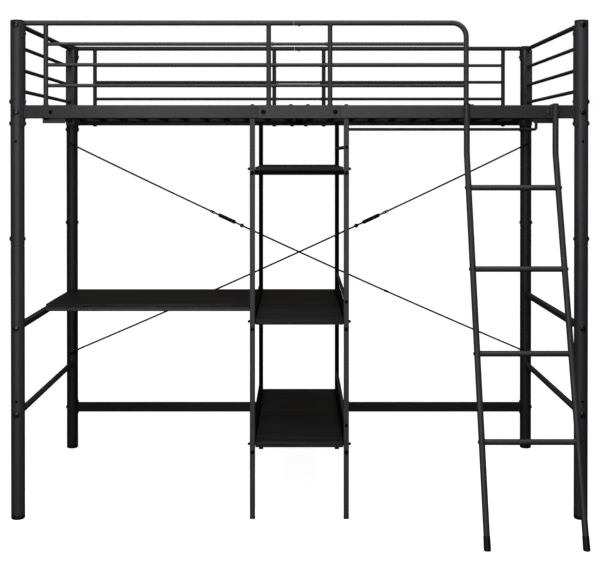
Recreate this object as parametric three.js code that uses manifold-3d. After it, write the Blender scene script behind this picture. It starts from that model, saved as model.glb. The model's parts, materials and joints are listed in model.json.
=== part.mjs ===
// Loft bed with desk and shelf tower: bolted steel tube frame, black boards, a lift-off ladder.
// Millimetres, +Z up, X along the bed, -Y towards the ladder side. The origin is on the floor, in the
// middle of the whole outline, ladder included.
import * as THREE from "three";
import { mergeVertices } from "three/addons/utils/BufferGeometryUtils.js";
import Module from "manifold-3d";

const wasm = await Module();
wasm.setup();

// ---------------------------------------------------------------- driving dimensions
const gap = 0.3; // air between pieces that touch
const weldBite = 1.5; // how far a tube runs into the plate it is welded to
const tubeWall = 1.5;

// Bed outline, between post centres
const postX = 1020;
const bedDepth = 990;

// Corner posts
const postRadius = 25;
const postTop = 1800;
const postJointZ = 989;
const spigotLength = 65;
const spigotRoot = 40;
const footHeight = 14;
const footPlugLength = 28;
const holeRadius = 4;
const upperHoleZ = 1367;
const lowerHoleZ = 428;

// Side rails and what is welded to them
const railBottom = 1450;
const railTop = 1498;
const railThickness = 25;
const ledgeBottom = 1463;
const ledgeWidth = 18;
const ledgeStart = 4;
const ledgeEnd = 980;
const frontBracket = { x0: 850, x1: 932, z0: 1433, z1: 1464 };
const railSaddle = { z0: 1422, z1: 1520 };
const spliceHalf = 148;
const plateThickness = 3;
const saddleHalfAngle = 0.9;

// Slatted deck
const slatPitch = 91.6;
const slatsPerPanel = 11;
const slatWidth = 28;
const deckUnderside = 1471;
const deckTop = 1484.5;
const deckNear = 2;
const deckFar = 978;
const deckBarWidth = 18;
const deckEdgeGap = 6; // room for the ladder hooks behind the rail
const centreBeamSize = { width: 30, height: 8 };

// Guard rails above the deck
const guardTopZ = 1795;
const guardRailZ = [1719, 1644, 1569];
const guardEndX = 917;
const guardMiddleX = 111;
const guardGateX = 603.5;
const guardGateBend = 50;
const guardJointX = -20;
const guardSaddleBottom = 1742;
const guardTubeRadius = 9.5;
const guardPostRadius = 8.75;
const guardRailRadius = 6.75;
const guardLinkRadius = 6;
const endRungZ = [1790, 1710, 1629, 1552];
const endRungRadius = 7;
const endStile = { width: 40, thickness: 20, top: 1785 };
const endBeamWidth = 25;

// Lower bars
const endBarUpper = { z0: 683, z1: 705, width: 22 };
const endBarLower = { z: 381, radius: 11.5 };
const endBarReach = 12; // from a post's middle, before the bar is coped round the post
const backRail = { z0: 163, z1: 204, thickness: 22, saddleOver: 8 };

// Shelf tower
const legX = 170;
const legSize = 19;
const shelfDepth = 925;
const shelfOverhang = 10; // of the boards, in front of the front legs' middles
const shelfCorner = 6;
const shelfTubeWidth = 18;
const shelfTubeAbove = 16;
const shelfTubeBelow = 22;
const lugBelowBolt = 9;
const crossBarWidth = 15;
const shelves = [
  { name: "top", top: 1275, board: 14, stopperZ: 1346, boltZ: 1253 },
  { name: "middle", top: 722, board: 18, stopperZ: 788, boltZ: 689 },
  { name: "bottom", top: 278, board: 18, stopperZ: 340, boltZ: 243 },
];
const stopperRadius = 7;

// Desk
const desk = { x0: -1010, x1: -181, front: 400, back: 905, top: 724, board: 13, frame: 15, corner: 12 };
const deskBarWidth = 18;

// Clothes bar under the deck
const hanger = { x0: 190, x1: 950, depth: 440, z: 1420, radius: 6, bend: 8 };

// Ladder
const stileRadius = 11;
const stileLeftX = 602;
const stileRightX = 921;
const stileTopZ = 1502;
const stileStandOff = 26; // from the front rail's middle to the stile's axis
const stileBendZ = 1325;
const ladderReach = 333.7; // from the front rail's middle to the foot's axis on the floor
const footShiftLeft = 24;
const footShiftRight = 36;
const rungZ = [342, 631, 917, 1201];
const rungRadius = 10.2;
const hookThickness = 3;
const hookDrop = 28;
const hookHalf = 13;
const leftTongue = [13.5, 27]; // beside the stile, so that it clears the guard's gate tube
const rightTongue = [-12, 12];
const stileBend = 150;

// Cross bracing
const braceTopZ = 1368;
const braceBottomZ = 436;
const braceSag = 17;
const rodRadius = 3.7;
const hookInside = 12; // how far a rod's end reaches past the post's face
const turnbuckle = { x0: 283, x1: 359, eyeX: 255, connectorX: 386, couplingX: 389, boss: 16, radius: 8.5 };
const eyeRadius = 9.5;

const ladderLean = Math.atan((ladderReach - stileStandOff) / stileBendZ);
const frontY = (ladderReach + stileRadius / Math.cos(ladderLean) - bedDepth - postRadius) / 2;
const backY = frontY + bedDepth;

// ---------------------------------------------------------------- materials
function finish(color, roughness, metalness) {
  return new THREE.MeshStandardMaterial({ color, roughness, metalness });
}
const steel = () => finish(0x3c3d41, 0.55, 0.35);
const board = () => finish(0x1c1b1a, 0.6, 0);
const plastic = () => finish(0x141414, 0.7, 0);
const zinc = () => finish(0x2a2a2b, 0.45, 0.7);

// ---------------------------------------------------------------- joining and cutting
function toSolid(geometry) {
  const bare = geometry.clone();
  bare.deleteAttribute("normal");
  bare.deleteAttribute("uv");
  const merged = mergeVertices(bare, 1e-3);
  return new wasm.Manifold(
    new wasm.Mesh({
      numProp: 3,
      vertProperties: merged.attributes.position.array,
      triVerts: new Uint32Array(merged.index.array),
    }),
  );
}

function toGeometry(solid) {
  const mesh = solid.getMesh();
  const geometry = new THREE.BufferGeometry();
  geometry.setAttribute("position", new THREE.BufferAttribute(mesh.vertProperties, 3));
  geometry.setIndex(new THREE.BufferAttribute(mesh.triVerts, 1));
  geometry.computeVertexNormals();
  return geometry;
}

function join(...pieces) {
  return toGeometry(pieces.map(toSolid).reduce((sum, piece) => sum.add(piece)));
}

function cut(body, ...tools) {
  return toGeometry(tools.map(toSolid).reduce((rest, tool) => rest.subtract(tool), toSolid(body)));
}

// ---------------------------------------------------------------- basic shapes
function block(x0, x1, y0, y1, z0, z1) {
  const box = new THREE.BoxGeometry(x1 - x0, y1 - y0, z1 - z0);
  return box.translate((x0 + x1) / 2, (y0 + y1) / 2, (z0 + z1) / 2);
}

function roundBar(from, to, radius, sides = 10) {
  const axis = to.clone().sub(from);
  const bar = new THREE.CylinderGeometry(radius, radius, axis.length(), sides);
  const turn = new THREE.Quaternion().setFromUnitVectors(
    new THREE.Vector3(0, 1, 0),
    axis.clone().normalize(),
  );
  return bar.applyQuaternion(turn).translate(...from.clone().lerp(to, 0.5).toArray());
}

function turned(profile, sides) {
  const points = profile.map(([radius, z]) => new THREE.Vector2(radius, z));
  return new THREE.LatheGeometry(points, sides).rotateX(Math.PI / 2);
}

function rectangle(width, height) {
  const w = width / 2;
  const h = height / 2;
  return [
    new THREE.Vector2(-w, -h),
    new THREE.Vector2(w, -h),
    new THREE.Vector2(w, h),
    new THREE.Vector2(-w, h),
  ];
}

// A rectangular tube along +Z from z0 to z1
function boxTube(width, height, wall, z0, z1) {
  const section = new THREE.Shape(rectangle(width, height));
  section.holes.push(new THREE.Path(rectangle(width - 2 * wall, height - 2 * wall)));
  const tube = new THREE.ExtrudeGeometry(section, { depth: z1 - z0, bevelEnabled: false });
  return tube.translate(0, 0, z0);
}

// A path through stations, where a sweep puts one ring at each station
class StationPath extends THREE.Curve {
  constructor(stations) {
    super();
    this.stations = stations;
  }
  getPoint(t) {
    const place = t * (this.stations.length - 1);
    const index = Math.min(Math.floor(place), this.stations.length - 2);
    return this.stations[index].clone().lerp(this.stations[index + 1], place - index);
  }
  getPointAt(u) {
    return this.getPoint(u);
  }
  getTangentAt(u) {
    const last = this.stations.length - 1;
    const index = Math.round(u * last);
    const before = this.stations[Math.max(index - 1, 0)];
    const here = this.stations[index];
    const after = this.stations[Math.min(index + 1, last)];
    const arriving = here.clone().sub(before).normalize();
    const leaving = after.clone().sub(here).normalize();
    return arriving.add(leaving).normalize();
  }
}

// Corner points with each inner corner rounded to the bend radius
function bend(corners, radius, steps = 5) {
  const stations = [corners[0].clone()];
  for (let i = 1; i < corners.length - 1; i += 1) {
    const corner = corners[i];
    const back = corners[i - 1].clone().sub(corner).normalize();
    const ahead = corners[i + 1].clone().sub(corner).normalize();
    const halfAngle = back.angleTo(ahead) / 2;
    const reach = radius / Math.tan(halfAngle);
    const centre = back.clone().add(ahead).normalize();
    centre.multiplyScalar(radius / Math.sin(halfAngle)).add(corner);
    const start = corner.clone().addScaledVector(back, reach).sub(centre);
    const end = corner.clone().addScaledVector(ahead, reach).sub(centre);
    const sweep = start.angleTo(end);
    for (let k = 0; k <= steps; k += 1) {
      const a = Math.sin((1 - k / steps) * sweep) / Math.sin(sweep);
      const b = Math.sin((k / steps) * sweep) / Math.sin(sweep);
      stations.push(start.clone().multiplyScalar(a).addScaledVector(end, b).add(centre));
    }
  }
  stations.push(corners[corners.length - 1].clone());
  return stations;
}

function sweptBar(stations, radius, sides = 10) {
  const outline = [];
  for (let i = 0; i < sides; i += 1) {
    const angle = (2 * Math.PI * i) / sides;
    outline.push(new THREE.Vector2(radius * Math.cos(angle), radius * Math.sin(angle)));
  }
  return new THREE.ExtrudeGeometry(new THREE.Shape(outline), {
    steps: stations.length - 1,
    extrudePath: new StationPath(stations),
  });
}

const at = (x, y, z) => new THREE.Vector3(x, y, z);

// A curved plate that hugs a post: faces +X when side is 1, -X when side is -1
function saddle(x, y, side, z0, z1) {
  const inner = postRadius + gap;
  const outer = inner + plateThickness;
  const section = new THREE.Shape();
  section.absarc(0, 0, outer, -saddleHalfAngle, saddleHalfAngle, false);
  section.absarc(0, 0, inner, saddleHalfAngle, -saddleHalfAngle, true);
  const plate = new THREE.ExtrudeGeometry(section, {
    depth: z1 - z0,
    bevelEnabled: false,
    curveSegments: 5,
  });
  if (side < 0) plate.rotateZ(Math.PI);
  return plate.translate(x, y, z0);
}

// ---------------------------------------------------------------- scene graph
const loftBed = new THREE.Group();

function place(name, geometry, material, group = loftBed) {
  const mesh = new THREE.Mesh(geometry, material);
  mesh.name = name;
  group.add(mesh);
  return mesh;
}

const sides = [
  { name: "left", sign: -1 },
  { name: "right", sign: 1 },
];
const rows = [
  { name: "front", y: frontY, outward: -1 },
  { name: "back", y: backY, outward: 1 },
];

// ---------------------------------------------------------------- corner posts
function postHole(x, y, z) {
  return roundBar(at(x, y - postRadius - 5, z), at(x, y, z), holeRadius, 12);
}

function lowerPost() {
  const inner = postRadius - tubeWall;
  const spigot = inner - gap;
  const tube = turned(
    [
      [inner, footHeight + gap],
      [postRadius, footHeight + gap],
      [postRadius, postJointZ],
      [spigot, postJointZ],
      [spigot, postJointZ + spigotLength],
      [spigot - tubeWall, postJointZ + spigotLength],
      [spigot - tubeWall, postJointZ - spigotRoot],
      [inner, postJointZ - spigotRoot],
      [inner, footHeight + gap],
    ],
    32,
  );
  return cut(tube, postHole(0, 0, lowerHoleZ));
}

function upperPost() {
  const inner = postRadius - tubeWall;
  const tube = turned(
    [
      [inner, postJointZ + gap],
      [postRadius, postJointZ + gap],
      [postRadius, postTop],
      [inner, postTop],
      [inner, postJointZ + gap],
    ],
    32,
  );
  return cut(tube, postHole(0, 0, upperHoleZ));
}

function foot() {
  const plug = postRadius - tubeWall - gap;
  return turned(
    [
      [0, 0],
      [20, 0],
      [23.5, 2],
      [postRadius, 6],
      [postRadius, footHeight],
      [plug, footHeight],
      [plug, footHeight + footPlugLength],
      [0, footHeight + footPlugLength],
    ],
    24,
  );
}

for (const row of rows) {
  for (const side of sides) {
    const corner = new THREE.Group();
    corner.position.set(side.sign * postX, row.y, 0);
    place(`post_lower_${row.name}_${side.name}`, lowerPost(), steel(), corner);
    place(`post_upper_${row.name}_${side.name}`, upperPost(), steel(), corner);
    place(`foot_${row.name}_${side.name}`, foot(), plastic(), corner);
    loftBed.add(corner);
  }
}

// ---------------------------------------------------------------- side rails
function ordered(a, b) {
  return a < b ? [a, b] : [b, a];
}

// A plate welded to the rail's inner face, from x0 to x1 along the half rail
function innerPlate(sign, row, x0, x1, depth, z0, z1) {
  const inward = -row.outward;
  const face = row.y + (inward * railThickness) / 2;
  const alongX = ordered(sign * x0, sign * x1);
  const alongY = ordered(face - inward, face + inward * depth);
  return block(...alongX, ...alongY, z0, z1);
}

function sideRail(sign, row) {
  const tubeEnd = postX - postRadius - plateThickness + weldBite;
  const tube = boxTube(railTop - railBottom, railThickness, tubeWall, gap, tubeEnd);
  tube.rotateY((sign * Math.PI) / 2).translate(0, row.y, (railBottom + railTop) / 2);
  const ledgeTop = ledgeBottom + plateThickness;
  const pieces = [
    tube,
    saddle(sign * postX, row.y, -sign, railSaddle.z0, railSaddle.z1),
    innerPlate(sign, row, ledgeStart, ledgeEnd, ledgeWidth, ledgeBottom, ledgeTop),
  ];
  if (row.name === "front") {
    const { x0, x1, z0, z1 } = frontBracket;
    pieces.push(innerPlate(sign, row, x0, x1, plateThickness, z0, z1));
  }
  return join(...pieces);
}

function splicePlate(row) {
  const inner = row.y + row.outward * (railThickness / 2 + gap);
  const alongY = ordered(inner, inner + row.outward * plateThickness);
  return block(-spliceHalf, spliceHalf, ...alongY, railBottom, railTop);
}

for (const row of rows) {
  for (const side of sides) {
    place(`rail_${row.name}_${side.name}`, sideRail(side.sign, row), steel());
  }
  place(`rail_splice_${row.name}`, splicePlate(row), steel());
}

// ---------------------------------------------------------------- deck
const deckFront = frontY + railThickness / 2 + deckEdgeGap;
const deckBack = backY - railThickness / 2 - deckEdgeGap;

function deckPanel(sign) {
  const [x0, x1] = ordered(sign * deckNear, sign * deckFar);
  const bottom = ledgeBottom + plateThickness + gap;
  const pieces = [
    block(x0, x1, deckFront, deckFront + deckBarWidth, bottom, deckTop - 1),
    block(x0, x1, deckBack - deckBarWidth, deckBack, bottom, deckTop - 1),
  ];
  for (let i = 0; i < slatsPerPanel; i += 1) {
    const x = sign * slatPitch * (i + 0.5);
    const half = slatWidth / 2;
    pieces.push(
      block(x - half, x + half, deckFront + 2, deckBack - 2, deckUnderside, deckTop),
    );
  }
  return join(...pieces);
}

for (const side of sides) {
  place(`deck_panel_${side.name}`, deckPanel(side.sign), steel());
}

// Runs from rail to rail under the ledges, where the two panels meet
function centreBeam() {
  const { width, height } = centreBeamSize;
  const inner = railThickness / 2 + gap;
  const beam = boxTube(width, height, tubeWall, frontY + inner, backY - inner);
  return beam.rotateX(-Math.PI / 2).translate(0, 0, ledgeBottom - gap - height / 2);
}
place("deck_centre_beam", centreBeam(), steel());

// ---------------------------------------------------------------- guards along the bed
function guardFoot(x, y, topZ, radius = guardPostRadius) {
  return roundBar(at(x, y, railTop + gap), at(x, y, topZ), radius);
}

function guardLevel(x0, x1, y, z, radius = guardRailRadius) {
  return roundBar(at(x0, y, z), at(x1, y, z), radius);
}

function guardHalf(sign, y) {
  const joint = guardJointX + sign * gap;
  const end = sign * (postX - postRadius - gap - weldBite);
  const pieces = [
    guardLevel(joint, end, y, guardTopZ, guardTubeRadius),
    saddle(sign * postX, y, -sign, guardSaddleBottom, postTop - 1),
    guardFoot(sign * guardEndX, y, guardTopZ),
    guardFoot(sign * guardMiddleX, y, guardTopZ),
  ];
  for (const z of guardRailZ) {
    pieces.push(guardLevel(sign * guardMiddleX, sign * guardEndX, y, z));
  }
  return pieces;
}

function linkBars(y) {
  const end = -guardMiddleX + guardPostRadius + gap;
  return guardRailZ.map((z) => guardLevel(end, guardMiddleX, y, z, guardLinkRadius));
}

function guardWithGate(y) {
  const bentTube = sweptBar(
    bend(
      [
        at(guardJointX + gap, y, guardTopZ),
        at(guardGateX, y, guardTopZ),
        at(guardGateX, y, railTop + gap),
      ],
      guardGateBend,
    ),
    guardTubeRadius,
  );
  const pieces = [bentTube, guardFoot(guardMiddleX, y, guardTopZ)];
  for (const z of guardRailZ) {
    pieces.push(guardLevel(guardMiddleX, guardGateX, y, z));
  }
  return pieces;
}

place("guard_front_left", join(...guardHalf(-1, frontY)), steel());
place("guard_front_right", join(...guardWithGate(frontY), ...linkBars(frontY)), steel());
place("guard_back_left", join(...guardHalf(-1, backY)), steel());
place("guard_back_right", join(...guardHalf(1, backY), ...linkBars(backY)), steel());

// ---------------------------------------------------------------- end guards
function endGuard(x) {
  const { thickness, top } = endStile;
  const half = endStile.width / 2;
  const beamHalf = endBeamWidth / 2;
  const front = frontY + postRadius + gap;
  const back = backY - postRadius - gap;
  const pieces = [
    block(x - half, x + half, front, front + thickness, railBottom, top),
    block(x - half, x + half, back - thickness, back, railBottom, top),
    block(x - beamHalf, x + beamHalf, front + 5, back - 5, ledgeBottom, railTop),
  ];
  endRungZ.forEach((z, level) => {
    const radius = level === 0 ? guardTubeRadius - 0.4 : endRungRadius;
    const inset = level === 0 ? 1 : 8;
    pieces.push(roundBar(at(x, front + inset, z), at(x, back - inset, z), radius));
  });
  return join(...pieces);
}

for (const side of sides) {
  place(`end_guard_${side.name}`, endGuard(side.sign * postX), steel());
}

// ---------------------------------------------------------------- lower bars
function postCutter(x, y, z0, z1) {
  return roundBar(at(x, y, z0), at(x, y, z1), postRadius + gap, 32);
}

function copedEndBar(x, bar, z0, z1) {
  return cut(bar, postCutter(x, frontY, z0, z1), postCutter(x, backY, z0, z1));
}

function upperEndBar(x) {
  const { z0, z1, width } = endBarUpper;
  const bar = boxTube(width, z1 - z0, tubeWall, frontY + endBarReach, backY - endBarReach);
  bar.rotateX(-Math.PI / 2).translate(x, 0, (z0 + z1) / 2);
  return copedEndBar(x, bar, z0 - 5, z1 + 5);
}

function lowerEndBar(x) {
  const { z, radius } = endBarLower;
  const bar = roundBar(at(x, frontY + endBarReach, z), at(x, backY - endBarReach, z), radius, 16);
  return copedEndBar(x, bar, z - 20, z + 20);
}

for (const side of sides) {
  place(`end_bar_upper_${side.name}`, upperEndBar(side.sign * postX), steel());
  place(`end_bar_lower_${side.name}`, lowerEndBar(side.sign * postX), steel());
}

function lowerBackRail() {
  const { z0, z1, thickness, saddleOver } = backRail;
  const end = postX - postRadius - gap - weldBite;
  const tube = boxTube(z1 - z0, thickness, tubeWall, -end, end);
  tube.rotateY(Math.PI / 2).translate(0, backY, (z0 + z1) / 2);
  return join(
    tube,
    saddle(-postX, backY, 1, z0 - saddleOver, z1 + saddleOver),
    saddle(postX, backY, -1, z0 - saddleOver, z1 + saddleOver),
  );
}
place("back_lower_rail", lowerBackRail(), steel());

// ---------------------------------------------------------------- shelf tower
// The front legs stand under the front rail. The back legs stand against the back rail's inner face.
const legHalf = legSize / 2;
const legRows = [
  { name: "front", y: frontY, top: railBottom - gap },
  { name: "back", y: backY - railThickness / 2 - legHalf - gap, top: ledgeBottom - gap },
];

for (const row of legRows) {
  for (const side of sides) {
    const leg = boxTube(legSize, legSize, tubeWall, 0, row.top);
    leg.translate(side.sign * legX, row.y, 0);
    place(`shelf_leg_${row.name}_${side.name}`, leg, steel());
  }
}

const sideFront = legRows[0].y + legHalf + gap;
const sideBack = legRows[1].y - legHalf - gap;

function crossBars(z0, z1, firstY) {
  const bars = [];
  const count = 5;
  const lastY = frontY + shelfDepth - 20;
  for (let i = 0; i < count; i += 1) {
    const y = firstY + ((lastY - firstY) * i) / (count - 1);
    bars.push(block(-legX, legX, y - crossBarWidth / 2, y + crossBarWidth / 2, z0, z1));
  }
  return bars;
}

// The top shelf's frame is level with its side tubes and shows under the board
function topShelfFrame(shelf) {
  const z1 = shelf.top - shelf.board - gap;
  const z0 = shelf.boltZ - crossBarWidth / 2;
  const inner = legX - legHalf;
  const half = shelfTubeWidth / 2;
  const front = block(-inner + gap, inner - gap, frontY - 8, sideFront + 12, z0, z1);
  const sidesOfIt = [-1, 1].map((sign) =>
    block(sign * legX - half, sign * legX + half, sideFront, sideBack, z0, z1),
  );
  const tie = block(-legX, legX, sideFront + 2, sideFront + 12, z0, z1);
  return join(front, tie, ...sidesOfIt, ...crossBars(z0, z1, frontY + 200));
}

// The lower two have tall side tubes that stand above the board, with lugs down to the bolts
function deepShelfFrame(shelf) {
  const top = shelf.top + shelfTubeAbove;
  const bottom = shelf.top - shelfTubeBelow;
  const lugBottom = shelf.boltZ - lugBelowBolt;
  const pieces = [];
  for (const sign of [-1, 1]) {
    const x0 = sign * legX - shelfTubeWidth / 2;
    const x1 = sign * legX + shelfTubeWidth / 2;
    pieces.push(block(x0, x1, sideFront, sideBack, bottom, top));
    pieces.push(block(x0, x1, sideFront, sideFront + plateThickness, lugBottom, top));
    pieces.push(block(x0, x1, sideBack - plateThickness, sideBack, lugBottom, top));
  }
  const barTop = shelf.top - shelf.board - gap;
  return join(...pieces, ...crossBars(shelf.boltZ, barTop, frontY + 120));
}

function shelfBoard(shelf) {
  const half = legX - legHalf - 1;
  const radius = shelfCorner;
  const cornerY = radius - shelfOverhang;
  const outline = new THREE.Shape();
  outline.moveTo(-half, shelfDepth);
  outline.lineTo(-half, cornerY);
  outline.absarc(-half + radius, cornerY, radius, Math.PI, 1.5 * Math.PI, false);
  outline.absarc(half - radius, cornerY, radius, 1.5 * Math.PI, 2 * Math.PI, false);
  outline.lineTo(half, shelfDepth);
  const slab = new THREE.ExtrudeGeometry(outline, {
    depth: shelf.board,
    bevelEnabled: false,
    curveSegments: 4,
  });
  return slab.translate(0, frontY, shelf.top - shelf.board);
}

function stopperBar(shelf) {
  return roundBar(at(legX, sideFront, shelf.stopperZ), at(legX, sideBack, shelf.stopperZ), stopperRadius);
}

for (const shelf of shelves) {
  const frameOf = shelf.name === "top" ? topShelfFrame : deepShelfFrame;
  place(`shelf_frame_${shelf.name}`, frameOf(shelf), steel());
  place(`shelf_board_${shelf.name}`, shelfBoard(shelf), board());
  place(`stopper_bar_${shelf.name}`, stopperBar(shelf), steel());
}

// ---------------------------------------------------------------- desk
function deskBoard() {
  const radius = desk.corner;
  const y0 = frontY + desk.front;
  const y1 = frontY + desk.back;
  const outline = new THREE.Shape();
  outline.moveTo(desk.x1, y0);
  outline.lineTo(desk.x1, y1);
  outline.lineTo(desk.x0, y1);
  outline.lineTo(desk.x0, y0 + radius);
  outline.absarc(desk.x0 + radius, y0 + radius, radius, Math.PI, 1.5 * Math.PI, false);
  const slab = new THREE.ExtrudeGeometry(outline, {
    depth: desk.board - gap,
    bevelEnabled: false,
    curveSegments: 4,
  });
  return slab.translate(0, 0, desk.top - desk.board + gap);
}

function deskFrame() {
  const z1 = desk.top - desk.board;
  const z0 = z1 - desk.frame;
  const left = -postX + endBarUpper.width / 2 + gap;
  const right = -legX - shelfTubeWidth / 2 - gap;
  const y0 = frontY + desk.front;
  const y1 = frontY + desk.back;
  const pieces = [
    block(left, right, y0, y0 + deskBarWidth, z0, z1),
    block(left, right, y1 - deskBarWidth, y1, z0, z1),
  ];
  const crossCount = 5;
  for (let i = 0; i < crossCount; i += 1) {
    const x = left + ((right - left - deskBarWidth) * i) / (crossCount - 1);
    pieces.push(block(x, x + deskBarWidth, y0 + 1, y1 - 1, z0, z1));
  }
  return join(...pieces);
}

place("desk_board", deskBoard(), board());
place("desk_frame", deskFrame(), steel());

// ---------------------------------------------------------------- clothes bar
function hangerBar() {
  const y = frontY + hanger.depth;
  const topZ = deckUnderside - gap;
  const corners = [
    at(hanger.x0, y, topZ),
    at(hanger.x0, y, hanger.z),
    at(hanger.x1, y, hanger.z),
    at(hanger.x1, y, topZ),
  ];
  return sweptBar(bend(corners, hanger.bend, 4), hanger.radius);
}
place("hanger_bar", hangerBar(), steel());

// ---------------------------------------------------------------- ladder
const ladder = new THREE.Group();
loftBed.add(ladder);

// Where the stile's axis is at height z, on its leaning part
function stilePoint(x, shift, z) {
  const down = (stileBendZ - z) / stileBendZ;
  const y = frontY - stileStandOff - (ladderReach - stileStandOff) * down;
  return at(x + shift * down, y, z);
}

// A plate on the rail's face, and a tongue that goes over the rail and down behind it
function hook(x, tongue) {
  const face = frontY - railThickness / 2 - gap;
  const rear = frontY + railThickness / 2 + gap;
  const top = railTop + gap;
  const tx0 = x + tongue[0];
  const tx1 = x + tongue[1];
  const plateEnd = Math.max(x + hookHalf, tx1);
  const t = hookThickness;
  return [
    block(x - hookHalf, plateEnd, face - t, face, railBottom + 2, railTop - 2),
    block(tx0, tx1, face - t, face, railTop - 4, top + t),
    block(tx0, tx1, face - t, rear + t, top, top + t),
    block(tx0, tx1, rear, rear + t, top - hookDrop, top + t),
  ];
}

function stile(x, shift, tongue) {
  const top = at(x, frontY - stileStandOff, stileTopZ);
  const corners = [top, stilePoint(x, shift, stileBendZ), stilePoint(x, shift, -20)];
  const stations = bend(corners, stileBend, 3);
  const tube = sweptBar(stations, stileRadius, 12);
  const below = block(x - 100, x + 100, frontY - 500, frontY, -60, 0);
  return join(cut(tube, below), ...hook(x, tongue));
}

function rung(z) {
  const left = stilePoint(stileLeftX, footShiftLeft, z);
  const right = stilePoint(stileRightX, footShiftRight, z);
  left.x += stileRadius + gap;
  right.x -= stileRadius + gap;
  return roundBar(left, right, rungRadius, 12);
}

place("ladder_stile_left", stile(stileLeftX, footShiftLeft, leftTongue), steel(), ladder);
place("ladder_stile_right", stile(stileRightX, footShiftRight, rightTongue), steel(), ladder);
rungZ.forEach((z, index) => place(`ladder_rung_${index + 1}`, rung(z), steel(), ladder));

// ---------------------------------------------------------------- cross bracing
const hookFaceY = backY - postRadius;

// A rod's axis: straight between the post holes but for its own sag. side -1 starts at the left post.
function bracePoint(side, x, y) {
  const t = (x * -side + postX) / (2 * postX);
  const straight = braceTopZ + (braceBottomZ - braceTopZ) * t;
  return at(x, y, straight - 4 * braceSag * t * (1 - t));
}

function braceStretch(side, xFrom, xTo, y, steps) {
  const stations = [];
  for (let i = 0; i <= steps; i += 1) {
    stations.push(bracePoint(side, xFrom + ((xTo - xFrom) * i) / steps, y));
  }
  return stations;
}

// The end of a rod turns through the hole in the front of the back post
function hookedEnd(side, postSign, y, z) {
  const inside = at(postSign * postX, hookFaceY + hookInside, z);
  const turn = bracePoint(side, postSign * postX, y);
  turn.z = z;
  return [inside, turn];
}

function sleeve(side, x, y, length, radius) {
  const slope = bracePoint(side, x + 5, y).sub(bracePoint(side, x - 5, y)).normalize();
  const middle = bracePoint(side, x, y);
  const half = slope.multiplyScalar(length / 2);
  return roundBar(middle.clone().sub(half), middle.clone().add(half), radius, 8);
}

function upperRod(side, y) {
  const bossEnd = side * (turnbuckle.x1 - 4);
  const path = [
    ...hookedEnd(side, side, y, upperHoleZ),
    ...braceStretch(side, side * (postX - 30), bossEnd, y, 6),
  ];
  return join(
    sweptBar(path, rodRadius, 8),
    sleeve(side, side * turnbuckle.connectorX, y, 26, 6),
  );
}

function lowerRod(side, y) {
  const bossEnd = side * (turnbuckle.x0 + 4);
  const path = [
    ...braceStretch(side, bossEnd, -side * (postX - 30), y, 10),
    ...hookedEnd(side, -side, y, lowerHoleZ).reverse(),
  ];
  const eye = bracePoint(side, side * turnbuckle.eyeX, y);
  const eyeFront = eye.clone().add(at(0, -rodRadius, 0));
  const eyeBack = eye.clone().add(at(0, rodRadius, 0));
  return join(
    sweptBar(path, rodRadius, 8),
    roundBar(eyeFront, eyeBack, eyeRadius, 16),
    sleeve(side, -side * turnbuckle.couplingX, y, 18, 5),
  );
}

// An open-bodied turnbuckle: two bored bosses joined by two bars
function turnbuckleBody(side, y) {
  const upper = bracePoint(side, side * turnbuckle.x1, y);
  const lower = bracePoint(side, side * turnbuckle.x0, y);
  const axis = lower.clone().sub(upper);
  const length = axis.length();
  const half = length / 2;
  const { boss, radius } = turnbuckle;
  const bore = rodRadius + 0.5;
  const bossRing = (end) => {
    const profile = [
      [bore, end * half],
      [radius - 3, end * half],
      [radius, end * (half - 5)],
      [radius, end * (half - boss)],
      [bore, end * (half - boss)],
      [bore, end * half],
    ];
    return turned(end < 0 ? profile : profile.reverse(), 12);
  };
  const barEnd = half - boss / 2;
  const body = join(
    bossRing(-1),
    bossRing(1),
    block(-3.5, 3.5, 4.6, radius - 0.4, -barEnd, barEnd),
    block(-3.5, 3.5, -radius + 0.4, -4.6, -barEnd, barEnd),
  );
  const turn = new THREE.Quaternion().setFromUnitVectors(at(0, 0, 1), axis.normalize());
  return body.applyQuaternion(turn).translate(...upper.lerp(lower, 0.5).toArray());
}

const braces = [
  { name: "a", side: -1, y: hookFaceY - 12 },
  { name: "b", side: 1, y: hookFaceY - 20 },
];
for (const { name, side, y } of braces) {
  place(`brace_${name}_upper_rod`, upperRod(side, y), zinc());
  place(`brace_${name}_turnbuckle`, turnbuckleBody(side, y), zinc());
  place(`brace_${name}_lower_rod`, lowerRod(side, y), zinc());
}

export default loftBed;
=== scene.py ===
import json
import math
import random

import bpy
from mathutils import Matrix, Vector


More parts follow.
